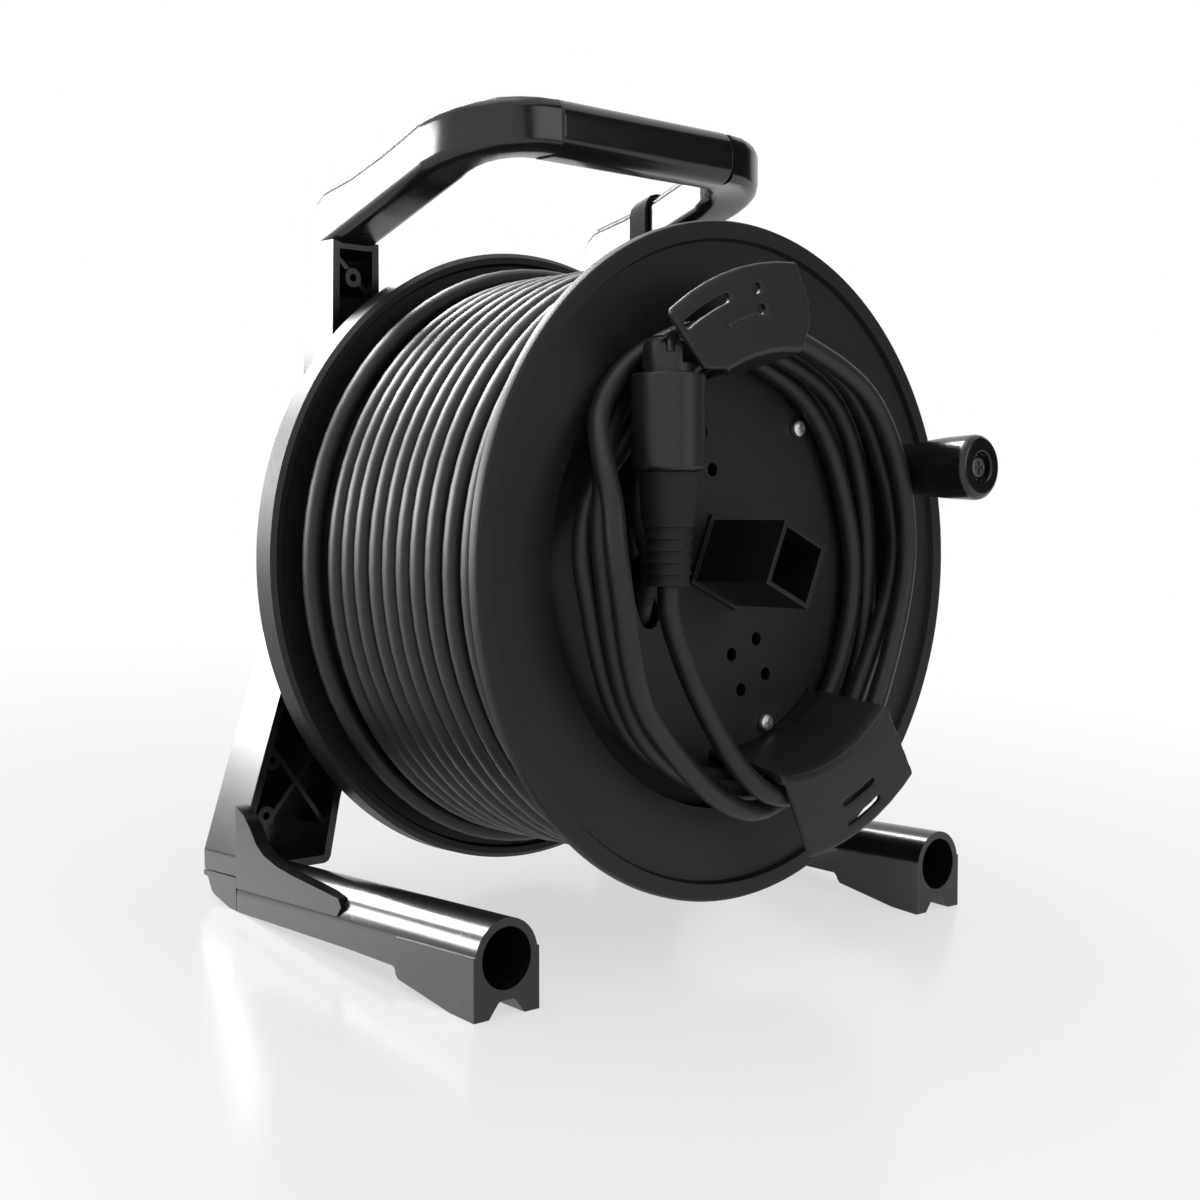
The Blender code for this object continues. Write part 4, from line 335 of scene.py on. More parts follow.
def jacket(name, colour):
    """Cable jacket: streaks and faint ripples that follow the cable, and a dusty sheen."""
    f = Finish(name, Specular_IOR_Level=0.4)
    lay = f.add("ShaderNodeAttribute", {"attribute_name": "lay"}, out="Vector")
    streaks = f.noise(f.stretched(lay, (1500.0, 1500.0, 30.0)), scale=1.0, detail=3.0, rough=0.6)
    ripples = f.noise(f.stretched(lay, (120.0, 120.0, 260.0)), scale=1.0, detail=2.0, rough=0.5)
    dust = f.noise(f.stretched(lay, (90.0, 90.0, 22.0)), scale=1.0, detail=4.0, rough=0.65)
    worn = streaks * 0.45 + dust * 0.55
    f.set(Base_Color=f.shades(worn, scaled(colour, 0.7), scaled(colour, 1.45)),
          Roughness=dust * 0.24 + streaks * 0.1 + 0.3)
    f.relief(streaks * 0.35 + ripples * 0.65, 0.0002, 0.6)
    return f.material


def plated(name, colour, rough):
    """Bright plated steel with fine turning marks and dull spots."""
    f = Finish(name, Metallic=1.0)
    place = f.place()
    marks = f.noise(f.stretched(place, (2600.0, 500.0, 2600.0)), scale=1.0, detail=2.0, rough=0.5)
    spots = f.noise(place, scale=420.0, detail=3.0, rough=0.6)
    f.set(Base_Color=f.shades(spots, scaled(colour, 0.82), colour),
          Roughness=spots * 0.14 + marks * 0.1 + (rough - 0.12))
    f.relief(marks, 0.00003, 0.5)
    return f.material


# Making pieces

def new_object(name, data):
    obj = bpy.data.objects.new(name, data)
    bpy.context.scene.collection.objects.link(obj)
    return obj


def plain_mesh(obj, name):
    """The evaluated object as one mesh object at the origin; what it came from is removed."""
    depsgraph = bpy.context.evaluated_depsgraph_get()
    mesh = bpy.data.meshes.new_from_object(obj.evaluated_get(depsgraph), depsgraph=depsgraph)
    mesh.name = name
    bpy.data.objects.remove(obj)
    return new_object(name, mesh)


def mesh_object(name, bm):
    """An object with the mesh that was built in bm, which is freed."""
    mesh = bpy.data.meshes.new(name)
    bm.to_mesh(mesh)
    bm.free()
    return new_object(name, mesh)


def finish_with(obj, material, slot_name, body, *nodes):
    """Gives a piece its material, the body it rides on and the nodes it stands for; slot_name is
    not used.
    """
    if material is not None:
        obj.data.materials.clear()
        obj.data.materials.append(material)
    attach(obj, body)
    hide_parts(*nodes)
    return obj


def rounder(bm):
    """Adds points to the edges that run round the drum's axis and sets them on their circles."""
    back = REEL.inverted()

    def about(v):
        p = back @ v.co
        return hypot(p.x, p.z), p.y

    places = {v: about(v) for v in bm.verts}
    # The radii of the solid's own points, to a hundredth of a millimetre
    known = sorted({round(r, 5) for r, _ in places.values()})
    edges = []
    for edge in bm.edges:
        start, end = (places[v] for v in edge.verts)
        if (start[0] > RIM_LEAST and edge.calc_length() > RIM_SHORTEST
                and all(abs(a - b) < RIM_SAME for a, b in zip(start, end))):
            edges.append(edge)
    made = bmesh.ops.subdivide_edges(bm, edges=edges, cuts=RIM_CUTS, use_grid_fill=True)
    for v in made["geom_inner"]:
        if isinstance(v, bmesh.types.BMVert):
            p = back @ v.co
            r = hypot(p.x, p.z)
            wanted = next((k for k in known if k >= r - MERGE), r)
            if r > RIM_LEAST and wanted - r < RIM_SAG:
                v.co = REEL @ Vector((p.x * wanted / r, p.y, p.z * wanted / r))


def softened(name, node, width, angle=EDGE_ANGLE, turned=False):
    """A copy of a node's solid with its flat faces joined and its edges rounded."""
    bm = bmesh.new()
    bm.from_mesh(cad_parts[node].data)
    bmesh.ops.remove_doubles(bm, verts=bm.verts, dist=MERGE)
    bmesh.ops.dissolve_limit(bm, angle_limit=radians(FLAT), verts=bm.verts, edges=bm.edges)
    if turned:
        rounder(bm)
    for face in bm.faces:
        face.smooth = True
    obj = mesh_object(name, bm)
    edge = obj.modifiers.new("edge", "BEVEL")
    edge.limit_method = "ANGLE"
    edge.angle_limit = radians(angle)
    edge.width = width
    edge.segments = EDGE_PARTS
    edge.harden_normals = True
    edge.use_clamp_overlap = True
    level = obj.modifiers.new("level", "WEIGHTED_NORMAL")
    level.mode = "FACE_AREA"
    level.weight = LEVEL_WEIGHT
    level.keep_sharp = True
    return plain_mesh(obj, name)


def worn_round(name, node, voxel):
    """A copy of a node's solid with a skin of small even faces, eased to soften every edge."""
    obj = new_object(name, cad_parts[node].data.copy())
    obj.data.materials.clear()
    skin = obj.modifiers.new("skin", "REMESH")
    skin.mode = "VOXEL"
    skin.voxel_size = voxel
    skin.use_smooth_shade = True
    soft = obj.modifiers.new("soft", "SMOOTH")
    soft.factor = SADDLE_EASE
    soft.iterations = SADDLE_PASSES
    return plain_mesh(obj, name)


def between(points, parts):
    """A smooth line through the points, with so many parts to each stretch."""
    ends = [points[0] * 2 - points[1]] + list(points) + [points[-1] * 2 - points[-2]]
    line = []
    for p0, p1, p2, p3 in zip(ends, ends[1:], ends[2:], ends[3:]):
        for k in range(parts):
            t = k / parts
            line.append(0.5 * (2 * p1 + (p2 - p0) * t + (2 * p0 - 5 * p1 + 4 * p2 - p3) * t ** 2
                               + (3 * p1 - p0 - 3 * p2 + p3) * t ** 3))
    return line + [points[-1]]


def line_object(name, points):
    """A curve with straight stretches from point to point."""
    curve = bpy.data.curves.new(name, "CURVE")
    curve.dimensions = "3D"
    spline = curve.splines.new("POLY")
    spline.points.add(len(points) - 1)
    for place, point in zip(spline.points, points):
        place.co = (*point, 1)
    return new_object(name, curve)


# Node trees

class Tree:
    """A geometry tree with named inputs."""

    def __init__(self, name, inputs):
        self.tree = bpy.data.node_groups.new(name, "GeometryNodeTree")
        face = self.tree.interface
        face.new_socket("Geometry", in_out="INPUT", socket_type="NodeSocketGeometry")
        face.new_socket("Geometry", in_out="OUTPUT", socket_type="NodeSocketGeometry")
        self.keys = {}
        for label, kind, default in inputs:
            socket = face.new_socket(label, in_out="INPUT", socket_type="NodeSocket" + kind)
            if default is not None:
                socket.default_value = default
            self.keys[label] = socket.identifier
        self.start = self.tree.nodes.new("NodeGroupInput")
        self.end = self.tree.nodes.new("NodeGroupOutput")

    def given(self, label):
        return self.start.outputs[label]

    def add(self, kind, settings=None, **sockets):
        node = self.tree.nodes.new(kind)
        for key, value in (settings or {}).items():
            setattr(node, key, value)
        for key, value in sockets.items():
            self.join(value, node.inputs[key.replace("_", " ")])
        return node

    def join(self, value, socket):
        if isinstance(value, bpy.types.NodeSocket):
            self.tree.links.new(value, socket)
        else:
            socket.default_value = value

    def close(self, geometry):
        """Ends the tree with real instances and the material."""
        real = self.add("GeometryNodeRealizeInstances", Geometry=geometry)
        painted = self.add("GeometryNodeSetMaterial", Geometry=real.outputs[0],
                           Material=self.given("Material"))
        self.tree.links.new(painted.outputs[0], self.end.inputs[0])
        return self

    def apply(self, obj, name, **values):
        """Runs the tree on an object and returns the plain mesh."""
        modifier = obj.modifiers.new(self.tree.name, "NODES")
        modifier.node_group = self.tree
        for label, value in values.items():
            modifier[self.keys[label.replace("_", " ")]] = value
        obj.update_tag()
        return plain_mesh(obj, name)


def cable_tree():
    """A round tube along each line; the attribute lay holds a point's place round and along it."""
    t = Tree("cable_skin", (("Radius", "Float", CABLE_R), ("Sides", "Int", 16),
                            ("Material", "Material", None)))
    ring = t.add("GeometryNodeCurvePrimitiveCircle", {"mode": "RADIUS"}, Radius=t.given("Radius"),
                 Resolution=t.given("Sides"))
    around = t.add("GeometryNodeCaptureAttribute", {"domain": "POINT"}, Geometry=ring.outputs[0])
    around.capture_items.new("VECTOR", "around")
    t.join(t.add("GeometryNodeInputPosition").outputs[0], around.inputs["around"])
    along = t.add("GeometryNodeCaptureAttribute", {"domain": "POINT"}, Geometry=t.given("Geometry"))
    along.capture_items.new("FLOAT", "along")
    t.join(t.add("GeometryNodeSplineParameter").outputs["Length"], along.inputs["along"])
    skin = t.add("GeometryNodeCurveToMesh", Curve=along.outputs[0], Profile_Curve=around.outputs[0],
                 Fill_Caps=True)
    parts = t.add("ShaderNodeSeparateXYZ", Vector=around.outputs["around"])
    lay = t.add("ShaderNodeCombineXYZ", X=parts.outputs[0], Y=parts.outputs[1],
                Z=along.outputs["along"])
    kept = t.add("GeometryNodeStoreNamedAttribute",
                 {"data_type": "FLOAT_VECTOR", "domain": "POINT"},
                 Geometry=skin.outputs[0], Name="lay", Value=lay.outputs[0])
    smooth = t.add("GeometryNodeSetShadeSmooth", Geometry=kept.outputs[0])
    return t.close(smooth.outputs[0])


def fixings_tree():
    """One fixing on every point, turned by the point's attribute facing and sized by its size."""
    t = Tree("fixings", (("Fixing", "Object", None), ("Material", "Material", None)))
    source = t.add("GeometryNodeObjectInfo", {"transform_space": "ORIGINAL"},
                   Object=t.given("Fixing"))
    facing = t.add("GeometryNodeInputNamedAttribute", {"data_type": "FLOAT_VECTOR"}, Name="facing")
    size = t.add("GeometryNodeInputNamedAttribute", {"data_type": "FLOAT"}, Name="size")
    turn = t.add("FunctionNodeAlignRotationToVector", {"axis": "Z"}, Vector=facing.outputs[0])
    placed = t.add("GeometryNodeInstanceOnPoints", Points=t.given("Geometry"),
                   Instance=source.outputs["Geometry"], Rotation=turn.outputs[0])
    scale = t.add("GeometryNodeScaleInstances", Instances=placed.outputs[0], Scale=size.outputs[0])
    return t.close(scale.outputs[0])


# Routes of the cable

def stored_line():
    """The stored cable from the slot to the connector."""
    route = [on_reel(x * MM, y * MM, z * MM) for x, y, z in STORED_ROUTE]
    route.reverse()
    return [route[0]] + between(route[1:-1], LINE_PARTS) + [route[-1]]


def winding_y(turns):
    """The place of the cable's middle along the axis after so many turns from the front."""
    free = WINDING_REAR - WINDING_FRONT - FRONT_TURN_SPACE - REAR_TURN_SPACE
    return (WINDING_FRONT + free / WINDING_TURNS * turns
            + FRONT_TURN_SPACE * ease((turns - FRONT_SPACE_AT) / SPACE_TAKES)
            + REAR_TURN_SPACE * ease((turns - (WINDING_TURNS - REAR_SPACE_BACK)) / SPACE_TAKES))


def winding_line():
    """The outer layer of the wound cable, with its two ends tucked down between the turns."""
    points = []
    for i in range(WINDING_TURNS * LOOP_POINTS + 1):
        turns = i / LOOP_POINTS
        rise = REAR_TURN_RISE * ease((turns - (WINDING_TURNS - RISE_BACK)) / RISE_TAKES)
        rise *= 1 - ease((turns - (WINDING_TURNS - FALL_BACK)) / FALL_TAKES)
        free = ease(turns / SWAY_TAKES) * ease((WINDING_TURNS - turns) / SWAY_TAKES)
        rise += WINDING_SWAY * free * (0.5 + 0.5 * sin(turns * RISE_RATE))
        x, z = round_about(WINDING_R + rise, WINDING_START + 360 * turns)
        waves = sum(share * sin(turns * rate + start) for rate, start, share in SWAY_WAVES)
        points.append(Vector((x, winding_y(turns) + WINDING_SWAY * free * waves, z)))
    line = list(reversed(tuck(0, -1))) + between(points, LINE_PARTS) + tuck(WINDING_TURNS, 1)
    return [REEL @ (DRUM_TURNED @ p) for p in line]


def tuck(turns, way):
    """A quarter turn down between the turns, from the end of the winding at so many turns."""
    angle = radians(WINDING_START + 360 * turns)
    out = Vector((cos(angle), 0, sin(angle)))
    along = Vector((-sin(angle), 0, cos(angle))) * way
    middle = out * (WINDING_R - TUCK_R) + Vector((0, winding_y(turns), 0))
    bend = []
    for k in range(1, TUCK_PARTS + 1):
        t = radians(90 / TUCK_PARTS * k)
        bend.append(middle + (out * cos(t) + along * sin(t)) * TUCK_R)
    return bend + [bend[-1] - out * CABLE_R, bend[-1] - out * CABLE_R * 2]


def inner_line():
    """The cable behind the slot, turned out through the barrel to the winding."""
    radius, slot, depth = SLOT_EXIT
    x, z = round_about(radius * MM, slot)
    dive = radians(SLOT_DIVE)
    way = Vector((-sin(radians(slot)) * cos(dive), sin(dive), cos(radians(slot)) * cos(dive)))
    end = Vector((x, depth * MM, z))
    knots = [end + way * on * MM for on in SLOT_STRAIGHT]
    for radius, angle, y in INNER_KNOTS:
        x, z = round_about(radius * MM, angle)
        knots.append(Vector((x, y * MM, z)))
    knots += [Vector((-radius * MM, WALL_DEPTH * MM, 0)) for radius in WALL_RADII]
    return [REEL @ (DRUM_TURNED @ p) for p in between(knots, LEAD_PARTS)]


# Sizes and colours that can be changed

class ReelLooks(bpy.types.PropertyGroup):
    edge: bpy.props.FloatProperty(
        name="Edge round", description="Width of the rounded edges of moulded pieces",
        default=0.45 * MM, min=0.0, max=2 * MM, unit="LENGTH", precision=5)
    cable_sides: bpy.props.IntProperty(
        name="Cable sides", description="Faces round the cable", default=20, min=6, max=48)
    plastic: bpy.props.FloatVectorProperty(
        name="Plastic", description="Colour of the moulded plastic", subtype="COLOR",
        default=(0.0075, 0.0078, 0.0085), min=0.0, max=1.0)
    frame_plastic: bpy.props.FloatVectorProperty(
        name="Frame plastic", description="Colour of the standing frame", subtype="COLOR",
        default=(0.0085, 0.0088, 0.0092), min=0.0, max=1.0)
    rubber: bpy.props.FloatVectorProperty(
        name="Rubber", description="Colour of the soft pieces", subtype="COLOR",
        default=(0.0105, 0.0105, 0.011), min=0.0, max=1.0)
    jacket: bpy.props.FloatVectorProperty(
        name="Jacket", description="Colour of the cable jacket", subtype="COLOR",
        default=(0.0105, 0.0108, 0.012), min=0.0, max=1.0)
    steel: bpy.props.FloatVectorProperty(
        name="Steel", description="Colour of the plated fixings", subtype="COLOR",
        default=(0.72, 0.72, 0.70), min=0.0, max=1.0)


class StageLooks(bpy.types.PropertyGroup):
    floor: bpy.props.FloatVectorProperty(
        name="Floor", description="Colour of the floor", subtype="COLOR",
        default=(0.86, 0.86, 0.86), min=0.0, max=1.0)
    window_power: bpy.props.FloatProperty(
        name="Window", description="Power of the large light behind the left side",
        default=34.0, min=0.0, subtype="POWER")
    sky_power: bpy.props.FloatProperty(
        name="Skylight", description="Power of the large light high behind the reel",
        default=115.0, min=0.0, subtype="POWER")
    fill_power: bpy.props.FloatProperty(
        name="Fill", description="Power of each of the two soft lights, in front and overhead",
        default=5.0, min=0.0, subtype="POWER")
    ambient: bpy.props.FloatProperty(
        name="Ambient", description="Strength of the even light all round",
        default=0.42, min=0.0, subtype="FACTOR")


def finish_makers(looks):
    """How each finish is made, by its short name."""
    plastic = looks.plastic
    return {
        "drum": lambda: moulded("drum_plastic", plastic, 0.5, 0.5 * MM, 0.00006),
        "frame": lambda: moulded("frame_plastic", looks.frame_plastic, 0.2, 0.35 * MM, 0.000014,
                                 gloss=0.5, cloudy=0.06),
        "saddle": lambda: moulded("saddle_plastic", scaled(plastic, 1.35), 0.46, 0.5 * MM, 0.00006,
                                  gloss=0.4),
        "post": lambda: moulded("post_plastic", scaled(plastic, 0.9), 0.34, 0.8 * MM, 0.00003,
                                gloss=0.45),
        "connector": lambda: moulded("connector_plastic", scaled(plastic, 1.4), 0.4, 0.4 * MM,
                                     0.00004, gloss=0.45),
        "rubber": lambda: soft_rubber("soft_rubber", looks.rubber, 0.62),
        "band": lambda: woven("woven_band", looks.rubber, 0.85, 1.1 * MM),
        "jacket": lambda: jacket("cable_jacket_finish", looks.jacket),
        "steel": lambda: plated("plated_steel", looks.steel, 0.34),
        "dark_steel": lambda: plated("blackened_steel", scaled(looks.steel, 0.22), 0.42),
        "brass": lambda: plated("turned_brass", (0.72, 0.53, 0.25), 0.36),
    }


FINISHES = {}


def finish(name):
    """The material of that name, made the first time that it is asked for."""
    if name not in FINISHES:
        FINISHES[name] = finish_makers(bpy.context.scene.reel_looks)[name]()
    return FINISHES[name]


# Pieces made from the solids: piece, node, finish, slot and the share of the usual edge
DRUM_MOULDINGS = (
    ("front_flange_moulding", "front_flange", "drum", "black_plastic", 1.0),
    ("rear_flange_moulding", "rear_flange", "drum", "black_plastic", 1.0),
    ("barrel_moulding", "drum_barrel", "drum", "black_plastic", 0.6),
    ("floor_panel_moulding", "floor_panel", "drum", "black_plastic", 0.5),
    ("square_post_moulding", "square_post", "post", "gloss_plastic", 0.5),
)
# The two saddles, with the size of their skin's faces, in millimetres, as the last entry
SADDLES = (
    ("lower_saddle_moulding", "lower_cable_saddle", "saddle", "black_plastic", 0.5),
    ("upper_saddle_moulding", "upper_cable_saddle", "saddle", "black_plastic", 0.45),
)
FRAME_MOULDINGS = (
    ("rear_frame_moulding", "rear_frame", "frame", "black_plastic", 1.3),
    ("left_foot_moulding", "left_foot", "frame", "black_plastic", 1.2),
    ("right_foot_moulding", "right_foot", "frame", "black_plastic", 1.2),
)
FRAME_RUBBERS = (
    ("handle_sleeve", "handle_grip", "frame", "soft_grip", 1.2),
    ("arm_band", "arm_strap", "band", "soft_grip", 0.8),
    ("left_heel", "left_foot_cap", "frame", "soft_grip", 1.0),
    ("right_heel", "right_foot_cap", "frame", "soft_grip", 1.0),
)
CRANK_MOULDINGS = (
    ("crank_handle", "crank_grip", "frame", "black_plastic", 0.8),
)
CONNECTOR_PIECES = (
    ("connector_sleeve", "connector_shell", "connector", "black_plastic", 0.6),
    ("connector_boot", "connector_bushing", "rubber", "soft_grip", 0.3),
    ("connector_nose", "connector_insert", "connector", "black_plastic", 0.5),
    ("connector_catch", "connector_latch", "connector", "black_plastic", 0.4),
)
AXLE_METAL = (
    ("axle_bar", "axle", "steel", "bright_steel", 0.4),
    ("front_axle_washer", "retaining_washer", "steel", "bright_steel", 0.3),
    ("axle_bolt", "axle_screw", "steel", "bright_steel", 0.3),
    ("rear_axle_washer", "axle_washer", "steel", "bright_steel", 0.3),
    ("axle_locknut", "axle_nut", "steel", "bright_steel", 0.8),
)
DRUM_METAL = (
    ("crank_pin", "crank_spindle", "steel", "bright_steel", 0.4),
    ("crank_bolt", "crank_screw", "dark_steel", "bright_steel", 0.5),
    ("crank_ring", "crank_washer", "steel", "bright_steel", 0.3),
    ("front_bearing", "front_bush", "brass", "brass", 0.4),
    ("rear_bearing", "rear_bush", "brass", "brass", 0.4),
)


def soften_all(rows, body, angle=EDGE_ANGLE, turned=False):
    """Softens the solids of a table's rows and gives them to a body."""
    edge = bpy.context.scene.reel_looks.edge
    made = []
    for name, node, look, slot_name, share in rows:
        piece = softened(name, node, edge * share, angle, turned=turned)
        made.append(finish_with(piece, finish(look), slot_name, body, node))
    return made


def tube(context, name, line, node):
    """A cable along a line, as the drum's piece for that node."""
    piece = cable_tree().apply(line_object(name + "_line", line), name, Radius=CABLE_R,
                               Sides=context.scene.reel_looks.cable_sides,
                               Material=finish("jacket"))
    return finish_with(piece, None, "cable_jacket", "drum", node)


class REEL_OT_stored_cable(bpy.types.Operator):
    """The loose end of the cable in the drum's front, with its connector"""
    bl_idname = "reel.stored_cable"
    bl_label = "Stored cable"

    def execute(self, context):
        parts = soften_all(CONNECTOR_PIECES, "drum", FINE_EDGE_ANGLE)
        route = stored_line()
        cable = tube(context, "stored_loops", route, "stored_cable")
        return {"FINISHED"}


class REEL_OT_wound_cable(bpy.types.Operator):
    """The outer layer of the cable on the drum, and its way in from the slot"""
    bl_idname = "reel.wound_cable"
    bl_label = "Wound cable"

    def execute(self, context):
        tube(context, "wound_turns", winding_line(), "wound_cable")
        tube(context, "cable_lead", inner_line(), "inner_cable")
        return {"FINISHED"}


class REEL_OT_winding_core(bpy.types.Operator):
    """The inner layers of the winding, whose crowns show between the outer turns"""
    bl_idname = "reel.winding_core"
    bl_label = "Inner layers"

    def execute(self, context):
        core = softened("winding_layers", "winding_core", CORE_EDGE)
        core.data.attributes.new("lay", "FLOAT_VECTOR", "POINT")
        values = []
        for v in core.data.vertices:
            values += [v.co.x, v.co.z, v.co.y * CORE_LAY]
        core.data.attributes["lay"].data.foreach_set("vector", values)
        finish_with(core, finish("jacket"), "cable_jacket", "drum", "winding_core")
        return {"FINISHED"}


class REEL_OT_drum(bpy.types.Operator):
    """The two flanges, the barrel, the floor panel and the square post"""
    bl_idname = "reel.drum"
    bl_label = "Drum mouldings"

    def execute(self, context):
        soften_all(DRUM_MOULDINGS, "drum", turned=True)
        return {"FINISHED"}


class REEL_OT_saddles(bpy.types.Operator):
    """The two saddles that hold the stored loops"""
    bl_idname = "reel.saddles"
    bl_label = "Cable saddles"

    def execute(self, context):
        for name, node, look, slot_name, voxel in SADDLES:
            piece = worn_round(name, node, voxel * MM)
            finish_with(piece, finish(look), slot_name, "drum", node)
        return {"FINISHED"}


class REEL_OT_standing_frame(bpy.types.Operator):
    """The moulded frame with its feet, heels, handle sleeve and arm band"""
    bl_idname = "reel.standing_frame"
    bl_label = "Standing frame"

    def execute(self, context):
        soften_all(FRAME_MOULDINGS + FRAME_RUBBERS, "frame")
        return {"FINISHED"}


class REEL_OT_crank(bpy.types.Operator):
    """The crank's turning grip"""
    bl_idname = "reel.crank"
    bl_label = "Crank grip"

    def execute(self, context):
        soften_all(CRANK_MOULDINGS, "crank", FINE_EDGE_ANGLE)
        return {"FINISHED"}


class REEL_OT_axle(bpy.types.Operator):
    """The axle with its washers and nut, the bushes and the crank's pin"""
    bl_idname = "reel.axle"
    bl_label = "Axle and pins"

    def execute(self, context):
        soften_all(AXLE_METAL, "frame")
        soften_all(DRUM_METAL, "drum")
        return {"FINISHED"}


# A screw of head radius 1: its outline by radius and height from the seat, and its cross recess by
# width, reach and depth, with how much wider and longer that is above the head than at its bottom
SCREW_STEPS = 24
SCREW_PROFILE = ((0.0, -2.5), (0.42, -2.3), (0.47, 0.0), (1.0, 0.0), (1.0, 0.34), (0.93, 0.52),
                 (0.74, 0.66), (0.4, 0.72), (0.0, 0.73))
SCREW_TOP = 0.73
RECESS = (0.2, 0.95, 0.55)
RECESS_OVER = (1.0, 1.25, 0.9)
RECESS_UNDER = (0.7, 0.6)


def screw_source():
    """A cross-recessed pan-head screw of head radius 1, with its seat at the origin."""
    bm = bmesh.new()
    rings = []
    for radius, height in SCREW_PROFILE:
        if radius == 0.0:
            rings.append([bm.verts.new((0, 0, height))])
            continue
        rings.append([bm.verts.new((radius * cos(2 * pi * k / SCREW_STEPS),
                                    radius * sin(2 * pi * k / SCREW_STEPS), height))
                      for k in range(SCREW_STEPS)])
    for low, high in zip(rings, rings[1:]):
        for k in range(SCREW_STEPS):
            n = (k + 1) % SCREW_STEPS
            corners = [low[k % len(low)], low[n % len(low)],
                       high[n % len(high)], high[k % len(high)]]
            kept = [v for i, v in enumerate(corners) if v not in corners[:i]]
            bm.faces.new(kept)
    bmesh.ops.recalc_face_normals(bm, faces=bm.faces)
    screw = mesh_object("screw", bm)
    width, reach, depth = RECESS
    cross = bmesh.new()
    for turn in (0, pi / 2):
        bar = bmesh.ops.create_cube(cross, size=1.0)["verts"]
        for v in bar:
            over = v.co.z > 0
            v.co.x *= width * (RECESS_OVER[0] if over else RECESS_UNDER[0])
            v.co.y *= reach * (RECESS_OVER[1] if over else RECESS_UNDER[1])
            v.co.z = RECESS_OVER[2] if over else SCREW_TOP - depth
        bmesh.ops.rotate(cross, verts=bar, cent=(0, 0, 0), matrix=Matrix.Rotation(turn, 3, "Z"))
    cutter = mesh_object("recess", cross)
    cut = screw.modifiers.new("recess", "BOOLEAN")
    cut.operation = "DIFFERENCE"
    cut.solver = "EXACT"
    cut.use_self = True
    cut.object = cutter
    made = plain_mesh(screw, "screw_source")
    bpy.data.objects.remove(cutter)
    for face in made.data.polygons:
        face.use_smooth = False
    return made


def screw_places():
    """The drum's screws and the frame's: node, a point on its axis, and the way its head faces."""
    drum, stand = [], []
    for i, angle in enumerate(DRUM_SCREW_ANGLES):
        x, z = round_about(DRUM_SCREW_R, angle + DRUM_TURN)
        drum.append((f"panel_screw_{i + 1}", (x, 0, z), (0, -1, 0)))
        drum.append((f"flange_screw_{i + 1}", (x, 0, z), (0, 1, 0)))
    for side, way in (("left", -1), ("right", 1)):
        stand.append((f"{side}_cap_screw", (CAP_SCREW[0] * way, 0, CAP_SCREW[1]), (0, 1, 0)))
        stand.append((f"{side}_leg_screw", (LEG_SCREW[0] * way, LEG_SCREW[1], 0), (0, 0, 1)))
    return drum, stand


# Radius and height of each kind of head, in millimetres
HEADS = {"panel": (3.2, 2.2), "flange": (3.2, 2.2), "left_cap": (2.8, 1.8), "right_cap": (2.8, 1.8),
         "left_leg": (3.8, 2.6), "right_leg": (3.8, 2.6)}


class REEL_OT_screws(bpy.types.Operator):
    """Cross-recessed screws in the drum and the standing frame"""
    bl_idname = "reel.screws"
    bl_label = "Screws"

    def execute(self, context):
        source = screw_source()
        tree = fixings_tree()
        turn = REEL.to_3x3()
        for body, rows in zip(("drum", "frame"), screw_places()):
            name = body + "_screws"
            mesh = bpy.data.meshes.new(name)
            points, ways, sizes = [], [], []
            for node, place, way in rows:
                out = (turn @ Vector(way)).normalized()
                head_r, head_h = HEADS[node.replace("_screw", "").rstrip("_123")]
                near = REEL @ Vector(place)
                corners = [v.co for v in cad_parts[node].data.vertices]
                top = max(c.dot(out) for c in corners)
                centre = near + out * (top - near.dot(out) - head_h * MM)
                points.append(centre)
                ways += list(out)
                sizes.append(head_r * MM)
            mesh.from_pydata(points, [], [])
            mesh.attributes.new("facing", "FLOAT_VECTOR", "POINT").data.foreach_set("vector", ways)
            mesh.attributes.new("size", "FLOAT", "POINT").data.foreach_set("value", sizes)
            screws = tree.apply(new_object(name + "_points", mesh), name, Fixing=source,
                                Material=finish("steel"))
            finish_with(screws, None, "bright_steel", body, *[row[0] for row in rows])
        bpy.data.objects.remove(source)
        return {"FINISHED"}


# Stage

# The camera, in the reel's frame: place in millimetres, yaw and pitch in degrees, lens and sensor
CAMERA_PLACE = (-467.4, -428.6, 18.4)
CAMERA_YAW = 43.12
CAMERA_PITCH = -2.82
CAMERA_LENS = 54.72
SENSOR = 36.0
CLIP = (0.01, 20.0)

# The lamps, which face LAMP_AIM: place, size, the property with their power, and whether they light
# surfaces or are only mirrored in them
LAMPS = (
    ("window", (-0.95, 1.0, 0.4), (1.15, 0.34), "window_power", False),
    ("skylight", (-0.1, 1.15, 1.15), (0.9, 0.9), "sky_power", False),
    ("fill", (0.5, -1.4, 0.7), (0.9, 0.9), "fill_power", True),
    ("top", (-0.3, 0.1, 1.5), (1.0, 1.0), "fill_power", True),
)
LAMP_AIM = Vector((0, 0, 0.13))

# The dark card, and the floor with its shares of glow by distance from the middle
CARD_PLACE = (1.1, -1.25, 0.75)
CARD_AIM = Vector((0, 0, 0.15))
CARD_SCALE = (3.8, 2.1, 1.0)
CARD_SHADE = (0.02, 0.02, 0.02, 1)
FLOOR_RADIUS = 9.0
GLOW = ((0.16, 0.62), (0.62, 1.0))


